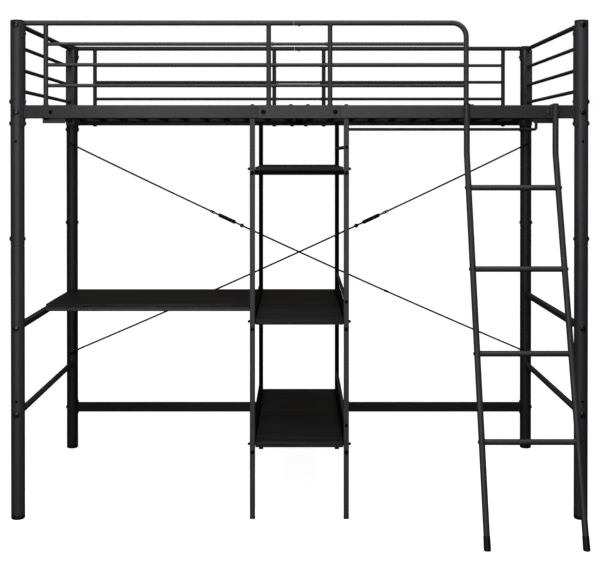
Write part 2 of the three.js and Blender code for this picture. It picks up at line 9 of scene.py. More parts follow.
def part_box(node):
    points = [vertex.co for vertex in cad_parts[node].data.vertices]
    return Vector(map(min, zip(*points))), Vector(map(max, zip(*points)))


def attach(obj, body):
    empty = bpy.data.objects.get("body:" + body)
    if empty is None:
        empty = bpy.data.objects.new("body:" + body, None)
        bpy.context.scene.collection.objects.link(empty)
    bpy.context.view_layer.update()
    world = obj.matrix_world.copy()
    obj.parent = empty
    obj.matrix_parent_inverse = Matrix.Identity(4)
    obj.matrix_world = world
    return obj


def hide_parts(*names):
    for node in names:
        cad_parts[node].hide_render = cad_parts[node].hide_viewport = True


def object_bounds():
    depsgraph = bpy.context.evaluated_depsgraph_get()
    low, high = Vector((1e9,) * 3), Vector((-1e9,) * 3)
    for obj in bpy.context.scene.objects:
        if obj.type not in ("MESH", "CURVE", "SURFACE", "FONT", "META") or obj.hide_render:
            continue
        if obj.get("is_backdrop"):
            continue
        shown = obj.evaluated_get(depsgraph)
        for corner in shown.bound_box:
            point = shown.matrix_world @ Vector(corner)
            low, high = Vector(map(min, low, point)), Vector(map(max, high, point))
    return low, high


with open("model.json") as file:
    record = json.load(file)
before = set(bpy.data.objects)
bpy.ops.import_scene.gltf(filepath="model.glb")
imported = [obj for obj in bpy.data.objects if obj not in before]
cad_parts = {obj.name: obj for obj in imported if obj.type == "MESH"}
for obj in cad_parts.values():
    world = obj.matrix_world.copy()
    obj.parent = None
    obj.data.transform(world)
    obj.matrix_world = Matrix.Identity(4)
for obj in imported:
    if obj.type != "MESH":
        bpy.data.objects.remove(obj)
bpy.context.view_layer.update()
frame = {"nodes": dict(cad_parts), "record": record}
print("frame loaded,", len(frame["nodes"]), "nodes")

random.seed(7)
mm = 0.001
ends = (("left", -1), ("right", 1))
rows = (("front", -1), ("back", 1))
bodyOf = {node: body for body, group in frame["record"]["behaviour"]["bodies"].items() for node in group}


def middle(node):
    low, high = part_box(node)
    return (low + high) / 2


def at(x, y, z):
    return Vector((x, y, z))


# camera first: level with the guard rails, square to the long side
cameraSpec = {"distance": 4.08, "height": 1.32, "side": -0.0075, "tilt": 0.4, "lens": 67.638,
              "shiftAcross": 0.0045, "shiftUp": -0.20622}


def addCamera(spec):
    data = bpy.data.cameras.new("studioCamera")
    data.sensor_width = 36
    data.lens = spec["lens"]
    data.shift_x, data.shift_y = spec["shiftAcross"], spec["shiftUp"]
    camera = bpy.data.objects.new("studioCamera", data)
    bpy.context.scene.collection.objects.link(camera)
    frontPlane = middle("post_lower_front_left").y
    camera.location = (spec["side"], frontPlane - spec["distance"], spec["height"])
    camera.rotation_euler = (math.radians(90 - spec["tilt"]), 0, 0)
    bpy.context.scene.camera = camera


addCamera(cameraSpec)
print("camera placed")


# drafts: vertices and faces gathered before they become one object
class Draft:
    def __init__(self):
        self.verts = []
        self.faces = []

    def add(self, verts, faces):
        start = len(self.verts)
        self.verts.extend(verts)
        self.faces.extend([tuple(start + i for i in face) for face in faces])


# rings of vertices joined in order; caps close the first and the last
def addRings(draft, rings, caps=True):
    count = len(rings[0])
    verts = [vertex for ring in rings for vertex in ring]
    faces = []
    for r in range(len(rings) - 1):
        for i in range(count):
            j = (i + 1) % count
            faces.append((r * count + i, r * count + j, (r + 1) * count + j, (r + 1) * count + i))
    if caps:
        faces.append(tuple(range(count))[::-1])
        faces.append(tuple(len(verts) - count + i for i in range(count)))
    draft.add(verts, faces)


def circle(radius, sides):
    step = 2 * math.pi / sides
    return [(radius * math.cos(i * step), radius * math.sin(i * step)) for i in range(sides)]


# each corner has a point on the flat either side of it, so that the flats stay flat under smooth shading
def roundedRect(width, height, corner, steps=4):
    points = []
    lead = min(0.25 * corner, 0.2 * (min(width, height) / 2 - corner)) + 0.02 * mm
    for cx, cy, first in ((1, 1, 0), (-1, 1, 90), (-1, -1, 180), (1, -1, 270)):
        middleX, middleY = cx * (width / 2 - corner), cy * (height / 2 - corner)
        arc = [math.radians(first + 90 * i / steps) for i in range(steps + 1)]
        start = (middleX + corner * math.cos(arc[0]), middleY + corner * math.sin(arc[0]))
        finish = (middleX + corner * math.cos(arc[-1]), middleY + corner * math.sin(arc[-1]))
        turn, back = math.radians(first), math.radians(first + 90)
        points.append((start[0] + lead * math.sin(turn), start[1] - lead * math.cos(turn)))
        points += [(middleX + corner * math.cos(a), middleY + corner * math.sin(a)) for a in arc]
        points.append((finish[0] - lead * math.sin(back), finish[1] + lead * math.cos(back)))
    return points


def framesAlong(points, up):
    frames = []
    across = None
    for i, point in enumerate(points):
        before = points[max(i - 1, 0)]
        after = points[min(i + 1, len(points) - 1)]
        arriving = (point - before).normalized() if i else (after - point).normalized()
        leaving = (after - point).normalized() if i < len(points) - 1 else arriving
        tangent = (arriving + leaving).normalized()
        if across is None:
            guide = Vector(up) if up else (at(0, 0, 1) if abs(tangent.z) < 0.9 else at(0, 1, 0))
            across = guide.cross(tangent).normalized()
        across = (across - tangent * across.dot(tangent)).normalized()
        frames.append((point, across, tangent.cross(across), tangent))
    return frames


def sweep(draft, points, section, up=None, endRound=0.0, caps=True):
    frames = framesAlong(points, up)
    reach = max(math.hypot(*p) for p in section)
    shrink = (reach - endRound) / reach

    def ring(centre, across, over, scale=1.0):
        return [centre + across * (x * scale) + over * (y * scale) for x, y in section]

    rings = []
    for i, (point, across, over, tangent) in enumerate(frames):
        first, last = i == 0, i == len(frames) - 1
        if endRound and first:
            rings.append(ring(point, across, over, shrink))
        move = endRound * (first - last)
        rings.append(ring(point + tangent * move, across, over))
        if endRound and last:
            rings.append(ring(point, across, over, shrink))
    addRings(draft, rings, caps)


def pipe(draft, points, radius, sides=24, endRound=0.0):
    sweep(draft, points, circle(radius, sides), endRound=endRound)


def bar(draft, start, finish, width, height, corner=1.5 * mm, up=(0, 0, 1), endRound=0.8 * mm):
    sweep(draft, [start, finish], roundedRect(width, height, corner), up, endRound)


def slab(draft, low, high, corner=1.0 * mm):
    size = high - low
    longest = max(range(3), key=lambda k: size[k])
    start, finish = (low + high) / 2, (low + high) / 2
    start[longest], finish[longest] = low[longest], high[longest]
    up = at(0, 0, 1) if longest != 2 else at(0, 1, 0)
    upAxis = 2 if longest != 2 else 1
    acrossAxis = 3 - longest - upAxis
    corner = min(corner, 0.45 * size[upAxis], 0.45 * size[acrossAxis])
    bar(draft, start, finish, size[acrossAxis], size[upAxis], corner, up, corner * 0.7)


def lathe(draft, profile, place=None, sides=32):
    place = place or Matrix.Identity(4)
    rings = [[place @ at(x, y, z) for x, y in circle(radius, sides)] for radius, z in profile]
    addRings(draft, rings, profile[0] != profile[-1])


def aim(point, direction):
    turn = at(0, 0, 1).rotation_difference(Vector(direction).normalized())
    return Matrix.Translation(point) @ turn.to_matrix().to_4x4()


def bendPath(corners, radius, steps=8):
    points = [corners[0]]
    for i in range(1, len(corners) - 1):
        corner = corners[i]
        back = (corners[i - 1] - corner).normalized()
        ahead = (corners[i + 1] - corner).normalized()
        half = back.angle(ahead) / 2
        centre = corner + (back + ahead).normalized() * (radius / math.sin(half))
        start = corner + back * (radius / math.tan(half)) - centre
        finish = corner + ahead * (radius / math.tan(half)) - centre
        turn = start.angle(finish)
        for k in range(steps + 1):
            a = math.sin((1 - k / steps) * turn) / math.sin(turn)
            b = math.sin(k / steps * turn) / math.sin(turn)
            points.append(centre + start * a + finish * b)
    points.append(corners[-1])
    return points


# a weld bead: a lumpy ring where one tube meets another
def weldRing(draft, point, axis, radius, thickness=1.3 * mm, sides=20):
    place = aim(point, axis)
    verts, faces = [], []
    tube = 6
    for i in range(sides):
        angle = 2 * math.pi * i / sides
        lump = thickness * random.uniform(0.8, 1.15)
        for k in range(tube):
            turn = 2 * math.pi * k / tube
            r = radius + lump * math.cos(turn)
            verts.append(place @ at(r * math.cos(angle), r * math.sin(angle), lump * math.sin(turn)))
    for i in range(sides):
        for k in range(tube):
            a, b = (i + 1) % sides, (k + 1) % tube
            faces.append((i * tube + k, a * tube + k, a * tube + b, i * tube + b))
    draft.add(verts, faces)


def weldLine(draft, points, thickness=1.3 * mm):
    path = []
    for start, finish in zip(points, points[1:]):
        count = max(2, round((finish - start).length / (5 * mm)))
        for i in range(count):
            shake = Vector([random.uniform(-0.2, 0.2) * mm for _ in range(3)])
            path.append(start.lerp(finish, i / count) + shake)
    path.append(points[-1])
    pipe(draft, path, thickness, 6, thickness * 0.6)


# a curved plate that hugs a post; side 1 faces +X
def saddlePlate(draft, x, y, side, z0, z1, postRadius, reach=0.9, thickness=3 * mm):
    inner, outer = postRadius + 0.3 * mm, postRadius + 0.3 * mm + thickness
    steps = 12
    section = [(outer * math.cos(a), outer * math.sin(a))
               for a in (reach * (2 * i / steps - 1) for i in range(steps + 1))]
    section += [(inner * math.cos(a), inner * math.sin(a))
                for a in (reach * (1 - 2 * i / steps) for i in range(steps + 1))]
    verts, faces = [], []
    for z in (z0, z1):
        verts += [at(x + side * px, y + side * py, z) for px, py in section]
    count = len(section)
    for i in range(count):
        j = (i + 1) % count
        faces.append((i, j, count + j, count + i))
    for i in range(steps):
        k = count - 1 - i
        faces.append((i + 1, i, k, k - 1))
        faces.append((count + i, count + i + 1, count + k - 1, count + k))
    draft.add(verts, faces)


def makePiece(name, draft, material, body, replaced=(), sharp=35):
    mesh = bpy.data.meshes.new(name)
    mesh.from_pydata([tuple(v) for v in draft.verts], [], draft.faces)
    mesh.validate()
    mesh.update()
    mesh.polygons.foreach_set("use_smooth", [True] * len(mesh.polygons))
    mesh.set_sharp_from_angle(angle=math.radians(sharp))
    mesh.materials.append(material)
    piece = bpy.data.objects.new(name, mesh)
    bpy.context.scene.collection.objects.link(piece)
    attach(piece, body)
    if replaced:
        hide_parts(*replaced)
    return piece


# back pieces take the darker copy of the coat: painted shade on the back frame
def coatFor(node):
    return frameCoat["back" if "back" in node else "front"]


def standIn(node, draft, material, sharp=35):
    return makePiece(node.replace("_", "-"), draft, material, bodyOf[node], (node,), sharp)


# shader groups shared by the finishes
def newGroup(name, inputs, outputs):
    group = bpy.data.node_groups.new(name, "ShaderNodeTree")
    for label, kind, value in inputs:
        socket = group.interface.new_socket(name=label, in_out="INPUT", socket_type=kind)
        socket.default_value = value
    for label, kind in outputs:
        group.interface.new_socket(name=label, in_out="OUTPUT", socket_type=kind)
    return group, group.nodes.new("NodeGroupInput"), group.nodes.new("NodeGroupOutput")


def node(tree, kind, links=None, **settings):
    made = tree.nodes.new(kind)
    for key, value in settings.items():
        setattr(made, key, value)
    for socket, value in (links or {}).items():
        if isinstance(value, bpy.types.NodeSocket):
            tree.links.new(value, made.inputs[socket])
        else:
            made.inputs[socket].default_value = value
    return made


def mapRange(tree, value, low, high, toLow, toHigh):
    made = node(tree, "ShaderNodeMapRange", {"Value": value, "From Min": low, "From Max": high,
                                             "To Min": toLow, "To Max": toHigh})
    return made.outputs["Result"]


def mixColour(tree, share, first, second, blend="MIX"):
    made = node(tree, "ShaderNodeMix", {}, data_type="RGBA", blend_type=blend)
    for socket, value in ((0, share), (6, first), (7, second)):
        if isinstance(value, bpy.types.NodeSocket):
            tree.links.new(value, made.inputs[socket])
        else:
            made.inputs[socket].default_value = value
    return made.outputs[2]


# powder coat: fine orange peel, slow tone drift, a few speckles
def coatGroup():
    group, inp, out = newGroup("powderCoat", [
        ("Tone", "NodeSocketColor", (0.04, 0.04, 0.045, 1)), ("Drift", "NodeSocketFloat", 0.12),
        ("Gloss", "NodeSocketFloat", 0.45), ("Peel scale", "NodeSocketFloat", 900.0)],
        [("Colour", "NodeSocketColor"), ("Roughness", "NodeSocketFloat"), ("Height", "NodeSocketFloat")])
    where = node(group, "ShaderNodeTexCoord").outputs["Object"]
    peel = node(group, "ShaderNodeTexNoise", {"Vector": where, "Scale": inp.outputs["Peel scale"],
                                              "Detail": 3.0, "Roughness": 0.55})
    slow = node(group, "ShaderNodeTexNoise", {"Vector": where, "Scale": 5.0, "Detail": 4.0})
    speck = node(group, "ShaderNodeTexVoronoi", {"Vector": where, "Scale": 260.0})
    drift = mapRange(group, slow.outputs["Fac"], 0.3, 0.7, -1, 1)
    amount = node(group, "ShaderNodeMath", {0: drift, 1: inp.outputs["Drift"]}, operation="MULTIPLY")
    bright = node(group, "ShaderNodeMath", {0: amount.outputs[0], 1: 1.0}, operation="ADD")
    toned = node(group, "ShaderNodeVectorMath", {0: inp.outputs["Tone"]}, operation="SCALE")
    group.links.new(bright.outputs[0], toned.inputs["Scale"])
    specks = mapRange(group, speck.outputs["Distance"], 0.04, 0.10, 0.25, 0.0)
    colour = mixColour(group, specks, toned.outputs[0], (0.09, 0.09, 0.095, 1))
    rough = node(group, "ShaderNodeMath", {0: mapRange(group, peel.outputs["Fac"], 0.3, 0.7, -0.05, 0.06),
                                           1: inp.outputs["Gloss"]}, operation="ADD")
    group.links.new(colour, out.inputs["Colour"])
    group.links.new(rough.outputs[0], out.inputs["Roughness"])
    group.links.new(peel.outputs["Fac"], out.inputs["Height"])
    return group


# edges: the share by which a rounded corner differs from its face; the lighter edge colour is partly worn coat,
# partly a painted highlight where the edges catch light
def edgeGroup():
    group, inp, out = newGroup("edgeWearAndHighlight", [
        ("Width", "NodeSocketFloat", 0.0015), ("Strength", "NodeSocketFloat", 0.5)],
        [("Mask", "NodeSocketFloat")])
    soft = node(group, "ShaderNodeBevel", {"Radius": inp.outputs["Width"]}, samples=4)
    flat = node(group, "ShaderNodeNewGeometry").outputs["Normal"]
    same = node(group, "ShaderNodeVectorMath", {0: soft.outputs[0], 1: flat}, operation="DOT_PRODUCT")
    where = node(group, "ShaderNodeTexCoord").outputs["Object"]
    patch = node(group, "ShaderNodeTexNoise", {"Vector": where, "Scale": 40.0, "Detail": 5.0})
    edge = mapRange(group, same.outputs["Value"], 0.995, 0.85, 0.0, 1.0)
    wornAndHighlit = mapRange(group, patch.outputs["Fac"], 0.42, 0.62, 0.25, 1.0)
    mask = node(group, "ShaderNodeMath", {0: edge, 1: wornAndHighlit}, operation="MULTIPLY")
    final = node(group, "ShaderNodeMath", {0: mask.outputs[0], 1: inp.outputs["Strength"]}, operation="MULTIPLY")
    group.links.new(final.outputs[0], out.inputs["Mask"])
    return group


# dust: a thin pale film on faces that look up
def dustGroup():
    group, inp, out = newGroup("dustFilm", [("Amount", "NodeSocketFloat", 0.1)], [("Mask", "NodeSocketFloat")])
    facing = node(group, "ShaderNodeSeparateXYZ", {0: node(group, "ShaderNodeNewGeometry").outputs["Normal"]})
    where = node(group, "ShaderNodeTexCoord").outputs["Object"]
    cloud = node(group, "ShaderNodeTexNoise", {"Vector": where, "Scale": 18.0, "Detail": 8.0, "Roughness": 0.7})
    up = mapRange(group, facing.outputs["Z"], 0.5, 1.0, 0.0, 1.0)
    broken = mapRange(group, cloud.outputs["Fac"], 0.35, 0.75, 0.2, 1.0)
    mask = node(group, "ShaderNodeMath", {0: up, 1: broken}, operation="MULTIPLY")
    final = node(group, "ShaderNodeMath", {0: mask.outputs[0], 1: inp.outputs["Amount"]}, operation="MULTIPLY")
    group.links.new(final.outputs[0], out.inputs["Mask"])
    return group


# wood grain printed and pressed into foil, running along X
def grainGroup():
    group, inp, out = newGroup("woodGrain", [
        ("Dark", "NodeSocketColor", (0.006, 0.006, 0.006, 1)), ("Light", "NodeSocketColor", (0.02, 0.02, 0.02, 1))],
        [("Colour", "NodeSocketColor"), ("Roughness", "NodeSocketFloat"), ("Height", "NodeSocketFloat")])
    where = node(group, "ShaderNodeTexCoord").outputs["Object"]
    sway = node(group, "ShaderNodeTexNoise", {"Vector": where, "Scale": 1.6, "Detail": 2.0})
    pushed = node(group, "ShaderNodeVectorMath", {0: sway.outputs["Color"], 1: (0.0, 0.05, 0.05)},
                  operation="MULTIPLY")
    warped = node(group, "ShaderNodeVectorMath", {0: where, 1: pushed.outputs[0]}, operation="ADD")
    long = node(group, "ShaderNodeMapping", {"Vector": warped.outputs[0], "Scale": (1.6, 26.0, 26.0)})
    fine = node(group, "ShaderNodeMapping", {"Vector": warped.outputs[0], "Scale": (6.0, 240.0, 240.0)})
    band = node(group, "ShaderNodeTexNoise",
                {"Vector": long.outputs[0], "Scale": 1.0, "Detail": 5.0, "Roughness": 0.6})
    pore = node(group, "ShaderNodeTexNoise",
                {"Vector": fine.outputs[0], "Scale": 1.0, "Detail": 3.0, "Roughness": 0.7})
    bandMask = mapRange(group, band.outputs["Fac"], 0.38, 0.64, 0.0, 1.0)
    poreMask = mapRange(group, pore.outputs["Fac"], 0.42, 0.58, 0.45, 1.0)
    both = node(group, "ShaderNodeMath", {0: bandMask, 1: poreMask}, operation="MULTIPLY")
    colour = mixColour(group, both.outputs[0], inp.outputs["Dark"], inp.outputs["Light"])
    group.links.new(colour, out.inputs["Colour"])
    group.links.new(mapRange(group, poreMask, 0, 1, 0.62, 0.46), out.inputs["Roughness"])
    group.links.new(both.outputs[0], out.inputs["Height"])
    return group


groups = {"coat": coatGroup(), "edge": edgeGroup(), "dust": dustGroup(), "grain": grainGroup()}


def newMaterial(name):
    material = bpy.data.materials.new(name)
    material.use_nodes = True
    tree = material.node_tree
    return material, tree, tree.nodes["Principled BSDF"]


def useGroup(tree, key, **values):
    made = tree.nodes.new("ShaderNodeGroup")
    made.node_tree = groups[key]
    for label, value in values.items():
        made.inputs[label.replace("_", " ")].default_value = value
    return made


# edge tones: the lighter colour of the edges, partly worn coat, partly painted highlight
coatSpec = {"tone": (0.0345, 0.0335, 0.0375, 1), "edgeToneWornAndLit": (0.070, 0.069, 0.076, 1), "gloss": 0.42,
            "drift": 0.10, "peelDepth": 0.00006, "dust": 0.06, "specular": 0.36}
# the back frame's coat is a darker, warmer copy of the front coat: painted shade, the back parts coloured as if they
# stood in shadow
shadedBackCoatSpec = {"tone": (0.0215, 0.0192, 0.0182, 1), "edgeToneWornAndLit": (0.05, 0.048, 0.046, 1), "gloss": 0.44,
                "drift": 0.14, "peelDepth": 0.00006, "dust": 0.06, "specular": 0.25}
# near-black copy of the coat for the shelf frames and back shelf legs: painted shade, standing in for the shade under
# the boards and at the back of the tower
shadedShelfCoatSpec = {"tone": (0.0016, 0.0015, 0.0014, 1), "edgeToneWornAndLit": (0.010, 0.010, 0.010, 1), "gloss": 0.55,
                 "drift": 0.15, "peelDepth": 0.00006, "dust": 0.005, "specular": 0.04}
legCoatSpec = {"tone": (0.0450, 0.0436, 0.0418, 1), "edgeToneWornAndLit": (0.06, 0.058, 0.055, 1), "gloss": 0.46,
               "drift": 0.10, "peelDepth": 0.00006, "dust": 0.04, "specular": 0.3}
# darker, browner copy of the coat for the deck: painted shade for its underside beneath the bed
shadedDeckCoatSpec = {"tone": (0.0150, 0.0135, 0.0115, 1), "edgeToneWornAndLit": (0.03, 0.028, 0.026, 1), "gloss": 0.5,
                "drift": 0.12, "peelDepth": 0.00006, "dust": 0.03, "specular": 0.12}
glossBlackSpec = {"tone": (0.0018, 0.0018, 0.002, 1), "edgeToneWornAndLit": (0.01, 0.01, 0.01, 1), "gloss": 0.13,
                  "drift": 0.08, "peelDepth": 0.00002, "dust": 0.01, "specular": 0.6}
mattBlackSpec = {"tone": (0.0014, 0.0014, 0.0014, 1), "edgeToneWornAndLit": (0.006, 0.006, 0.006, 1), "gloss": 0.42,
                 "drift": 0.08, "peelDepth": 0.00003, "dust": 0.01, "specular": 0.08}
rodSpec = {"tone": (0.0016, 0.0016, 0.0016, 1), "edgeToneWornAndLit": (0.012, 0.012, 0.012, 1), "gloss": 0.45,
           "drift": 0.2, "peelDepth": 0.00002, "dust": 0.01, "specular": 0.1}
plasticSpec = {"tone": (0.0045, 0.0045, 0.0047, 1), "edgeToneWornAndLit": (0.015, 0.015, 0.015, 1), "gloss": 0.5,
               "drift": 0.06, "peelDepth": 0.00008, "dust": 0.02, "specular": 0.25}


def coatedMaterial(name, spec, peelScale=900.0, edgeWidth=0.0012):
    material, tree, shader = newMaterial(name)
    coat = useGroup(tree, "coat", Tone=spec["tone"], Drift=spec["drift"], Gloss=spec["gloss"],
                    Peel_scale=peelScale)
    edge = useGroup(tree, "edge", Width=edgeWidth, Strength=0.55)
    dust = useGroup(tree, "dust", Amount=spec["dust"])
    # edges lightened: partly wear, partly painted highlight
    wornAndHighlit = mixColour(tree, edge.outputs["Mask"], coat.outputs["Colour"], spec["edgeToneWornAndLit"])
    dusty = mixColour(tree, dust.outputs["Mask"], wornAndHighlit, (0.16, 0.155, 0.15, 1))
    tree.links.new(dusty, shader.inputs["Base Color"])
    tree.links.new(coat.outputs["Roughness"], shader.inputs["Roughness"])
    bump = node(tree, "ShaderNodeBump", {"Height": coat.outputs["Height"], "Strength": 0.35,
                                         "Distance": spec["peelDepth"]})
    tree.links.new(bump.outputs["Normal"], shader.inputs["Normal"])
    shader.inputs["Specular IOR Level"].default_value = spec["specular"]
    return material


boardSpec = {"dark": (0.0048, 0.0047, 0.0047, 1), "light": (0.030, 0.0297, 0.0292, 1), "grainDepth": 0.00015,
             "dust": 0.02, "specular": 0.22}


def boardMaterial(name, spec):
    material, tree, shader = newMaterial(name)
    grain = useGroup(tree, "grain", Dark=spec["dark"], Light=spec["light"])
    dust = useGroup(tree, "dust", Amount=spec["dust"])
    edge = useGroup(tree, "edge", Width=0.001, Strength=0.35)
    # board edges lightened: partly wear, partly painted highlight
    wornAndHighlit = mixColour(tree, edge.outputs["Mask"], grain.outputs["Colour"], (0.05, 0.049, 0.047, 1))
    dusty = mixColour(tree, dust.outputs["Mask"], wornAndHighlit, (0.12, 0.115, 0.11, 1))
    tree.links.new(dusty, shader.inputs["Base Color"])
    tree.links.new(grain.outputs["Roughness"], shader.inputs["Roughness"])
    bump = node(tree, "ShaderNodeBump", {"Height": grain.outputs["Height"], "Strength": 0.5,
                                         "Distance": spec["grainDepth"]})
    tree.links.new(bump.outputs["Normal"], shader.inputs["Normal"])
    shader.inputs["Specular IOR Level"].default_value = spec["specular"]
    return material


steel = coatedMaterial("charcoalPowderCoat", coatSpec)
# shelf frames and back shelf legs: near black, painted shade
shadedShelfSteel = coatedMaterial("blackShelfCoatShaded", shadedShelfCoatSpec)
# back frame: the darker copy of the coat, painted shade
shadedBackSteel = coatedMaterial("charcoalCoatBackFrameShaded", shadedBackCoatSpec)
legSteel = coatedMaterial("charcoalShelfLegCoat", legCoatSpec)
# deck: the darker copy of the coat, painted shade
shadedDeckSteel = coatedMaterial("darkDeckCoatShaded", shadedDeckCoatSpec)
# front pieces take the plain coat, back pieces the painted-shade copy
frameCoat = {"front": steel, "back": shadedBackSteel}
glossBolt = coatedMaterial("glossBlackScrews", glossBlackSpec, 1500.0, 0.0006)
mattBolt = coatedMaterial("mattBlackScrews", mattBlackSpec, 1500.0, 0.0006)
rodBlack = coatedMaterial("blackenedRod", rodSpec, 700.0, 0.0006)
plastic = coatedMaterial("blackMouldedPlastic", plasticSpec, 420.0, 0.001)
foil = boardMaterial("blackGrainFoil", boardSpec)
print("finishes made")


# corner posts
postSpec = {"sides": 64, "rim": 1.3 * mm, "capRise": 7 * mm, "holeRadius": 4.8 * mm}
postLow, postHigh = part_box("post_lower_front_left")
postRadius = (postHigh.x - postLow.x) / 2
upperLow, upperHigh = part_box("post_upper_front_left")


def cutHoles(piece, places, radius):
    for point in places:
        bpy.ops.mesh.primitive_cylinder_add(radius=radius, depth=30 * mm, vertices=24, location=point,
                                            rotation=(math.radians(90), 0, 0))
        cutter = bpy.context.active_object
        modifier = piece.modifiers.new("hole", "BOOLEAN")
        modifier.object = cutter
        modifier.solver = "EXACT"
        made = bpy.data.meshes.new_from_object(piece.evaluated_get(bpy.context.evaluated_depsgraph_get()))
        piece.modifiers.clear()
        old = piece.data
        piece.data = made
        bpy.data.meshes.remove(old)
        bpy.data.objects.remove(cutter)
    piece.data.set_sharp_from_angle(angle=math.radians(35))


def postTube(node, holeZ):
    low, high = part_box(node)
    centre = (low + high) / 2
    top = upperLow.z - 1.2 * mm if "lower" in node else high.z
    rim, wall = postSpec["rim"], 1.5 * mm
    inner = postRadius - wall
    profile = [(inner, low.z), (postRadius - rim, low.z), (postRadius, low.z + rim),
               (postRadius, top - rim), (postRadius - rim, top), (inner, top)]
    if "lower" in node:
        spigot = inner - 0.3 * mm
        profile[-1:] = [(spigot, top), (spigot, high.z), (spigot - wall, high.z), (spigot - wall, top - 0.04),
                        (inner, top - 0.04)]
    profile.append(profile[0])
    draft = Draft()
    lathe(draft, profile, Matrix.Translation((centre.x, centre.y, 0)), postSpec["sides"])
    piece = standIn(node, draft, coatFor(node))
    cutHoles(piece, [at(centre.x, centre.y - postRadius, holeZ)], postSpec["holeRadius"])


def postFoot(node):
    low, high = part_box(node)
    centre = (low + high) / 2
    rim = postLow.z - 0.3 * mm
    r = postRadius
    curve = [(20 * mm, 0.0), (22.6 * mm, 0.7 * mm), (24.2 * mm, 2.6 * mm), (24.9 * mm, 5 * mm),
             (r, 7 * mm), (r, rim - 0.6 * mm), (r - 0.6 * mm, rim), (r - 1.9 * mm, rim),
             (r - 1.9 * mm, high.z - 2 * mm), (r - 3 * mm, high.z)]
    draft = Draft()
    lathe(draft, [(radius, low.z + z) for radius, z in curve], Matrix.Translation((centre.x, centre.y, 0)), 48)
    standIn(node, draft, plastic)


def postCaps():
    rise = postSpec["capRise"]
    for row, _ in rows:
        for end, _ in ends:
            low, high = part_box(f"post_upper_{row}_{end}")
            centre = (low + high) / 2
            r = postRadius + 0.3 * mm
            curve = [(r - 3 * mm, -18 * mm), (r - 2.4 * mm, -18 * mm), (r - 2.4 * mm, 0.2 * mm),
                     (r - 0.3 * mm, 0.2 * mm), (r, 0.7 * mm), (r, 2.2 * mm), (r - 0.7 * mm, 3.6 * mm)]
            for i in range(1, 9):
                share = i / 9
                curve.append(((r - 0.7 * mm) * math.cos(share * math.pi / 2),
                              3.6 * mm + (rise - 3.6 * mm) * math.sin(share * math.pi / 2)))
            draft = Draft()
            lathe(draft, [(radius, high.z + z) for radius, z in curve],
                  Matrix.Translation((centre.x, centre.y, 0)), 48)
            makePiece(f"post-cap-{row}-{end}", draft, plastic, "root")


for row, _ in rows:
    for end, _ in ends:
        postTube(f"post_lower_{row}_{end}", 0.428)
        postTube(f"post_upper_{row}_{end}", 1.367)
        postFoot(f"foot_{row}_{end}")
postCaps()
print("posts, feet and caps")


# side rails with their end plates, ledges and brackets
railSpec = {"thickness": 25 * mm, "corner": 3 * mm, "low": 1.450, "high": 1.498, "ledge": 18 * mm}
frontY, backY = middle("post_lower_front_left").y, middle("post_lower_back_left").y
postX = middle("post_lower_front_right").x
rowY = {"front": frontY, "back": backY}


def sideRail(row, outward, end, sign):
    node = f"rail_{row}_{end}"
    low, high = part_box(node)
    y = rowY[row]
    middleZ = (railSpec["low"] + railSpec["high"]) / 2
    height = railSpec["high"] - railSpec["low"]
    outer = sign * (postX - postRadius - 2.6 * mm)
    draft = Draft()
    bar(draft, at(sign * 0.3 * mm, y, middleZ), at(outer, y, middleZ), railSpec["thickness"], height,
        railSpec["corner"])
    saddlePlate(draft, sign * postX, y, -sign, low.z if low.z > 1.42 else 1.422, high.z, postRadius)
    inward = -outward
    face = y + inward * railSpec["thickness"] / 2
    ledgeEnds = sorted((sign * 4 * mm, sign * 0.980))
    depth = sorted((face, face + inward * railSpec["ledge"]))
    slab(draft, at(ledgeEnds[0], depth[0], 1.463), at(ledgeEnds[1], depth[1], 1.466))
    if row == "front":
        bracketX = sorted((sign * 0.850, sign * 0.932))
        plateY = sorted((face - inward * 0.5 * mm, face + inward * 3 * mm))
        slab(draft, at(bracketX[0], plateY[0], 1.433), at(bracketX[1], plateY[1], 1.464))
    weldX = sign * (postX - postRadius - 3.6 * mm)
    half = railSpec["thickness"] / 2
    loop = [at(weldX, y + half * a, middleZ + height / 2 * b) for a, b in
            ((-1, -0.9), (-1, 0.9), (-0.8, 1), (0.8, 1), (1, 0.9), (1, -0.9), (0.8, -1), (-0.8, -1), (-1, -0.9))]
    weldLine(draft, loop, 1.6 * mm)
    standIn(node, draft, coatFor(node))


def splicePlate(row):
    low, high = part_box(f"rail_splice_{row}")
    draft = Draft()
    slab(draft, low, high, 1.2 * mm)
    standIn(f"rail_splice_{row}", draft, frameCoat[row])


for row, outward in rows:
    for end, sign in ends:
        sideRail(row, outward, end, sign)
    splicePlate(row)
print("side rails")


# deck panels: two edge bars and pressed slats with rolled edges
deckSpec = {"pitch": 91.6 * mm, "slats": 11, "slatWidth": 28 * mm, "under": 1.471, "edgeBar": 18 * mm}


def deckPanel(end, sign):
    node = f"deck_panel_{end}"
    low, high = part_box(node)
    draft = Draft()
    edge = deckSpec["edgeBar"]
    for y0, y1 in ((low.y, low.y + edge), (high.y - edge, high.y)):
        slab(draft, at(low.x, y0, low.z), at(high.x, y1, high.z - 1 * mm), 2 * mm)
    for i in range(deckSpec["slats"]):
        x = sign * deckSpec["pitch"] * (i + 0.5)
        z = (deckSpec["under"] + high.z) / 2
        bar(draft, at(x, low.y + 2 * mm, z), at(x, high.y - 2 * mm, z), deckSpec["slatWidth"],
            high.z - deckSpec["under"], 4 * mm)
        for y in (low.y + edge, high.y - edge):
            half = deckSpec["slatWidth"] / 2
            weldLine(draft, [at(x - half, y, deckSpec["under"] + 2 * mm), at(x - half, y, high.z - 2 * mm)])
            weldLine(draft, [at(x + half, y, deckSpec["under"] + 2 * mm), at(x + half, y, high.z - 2 * mm)])
    # slats and edge bars take the darker painted-shade deck coat
    standIn(node, draft, shadedDeckSteel)


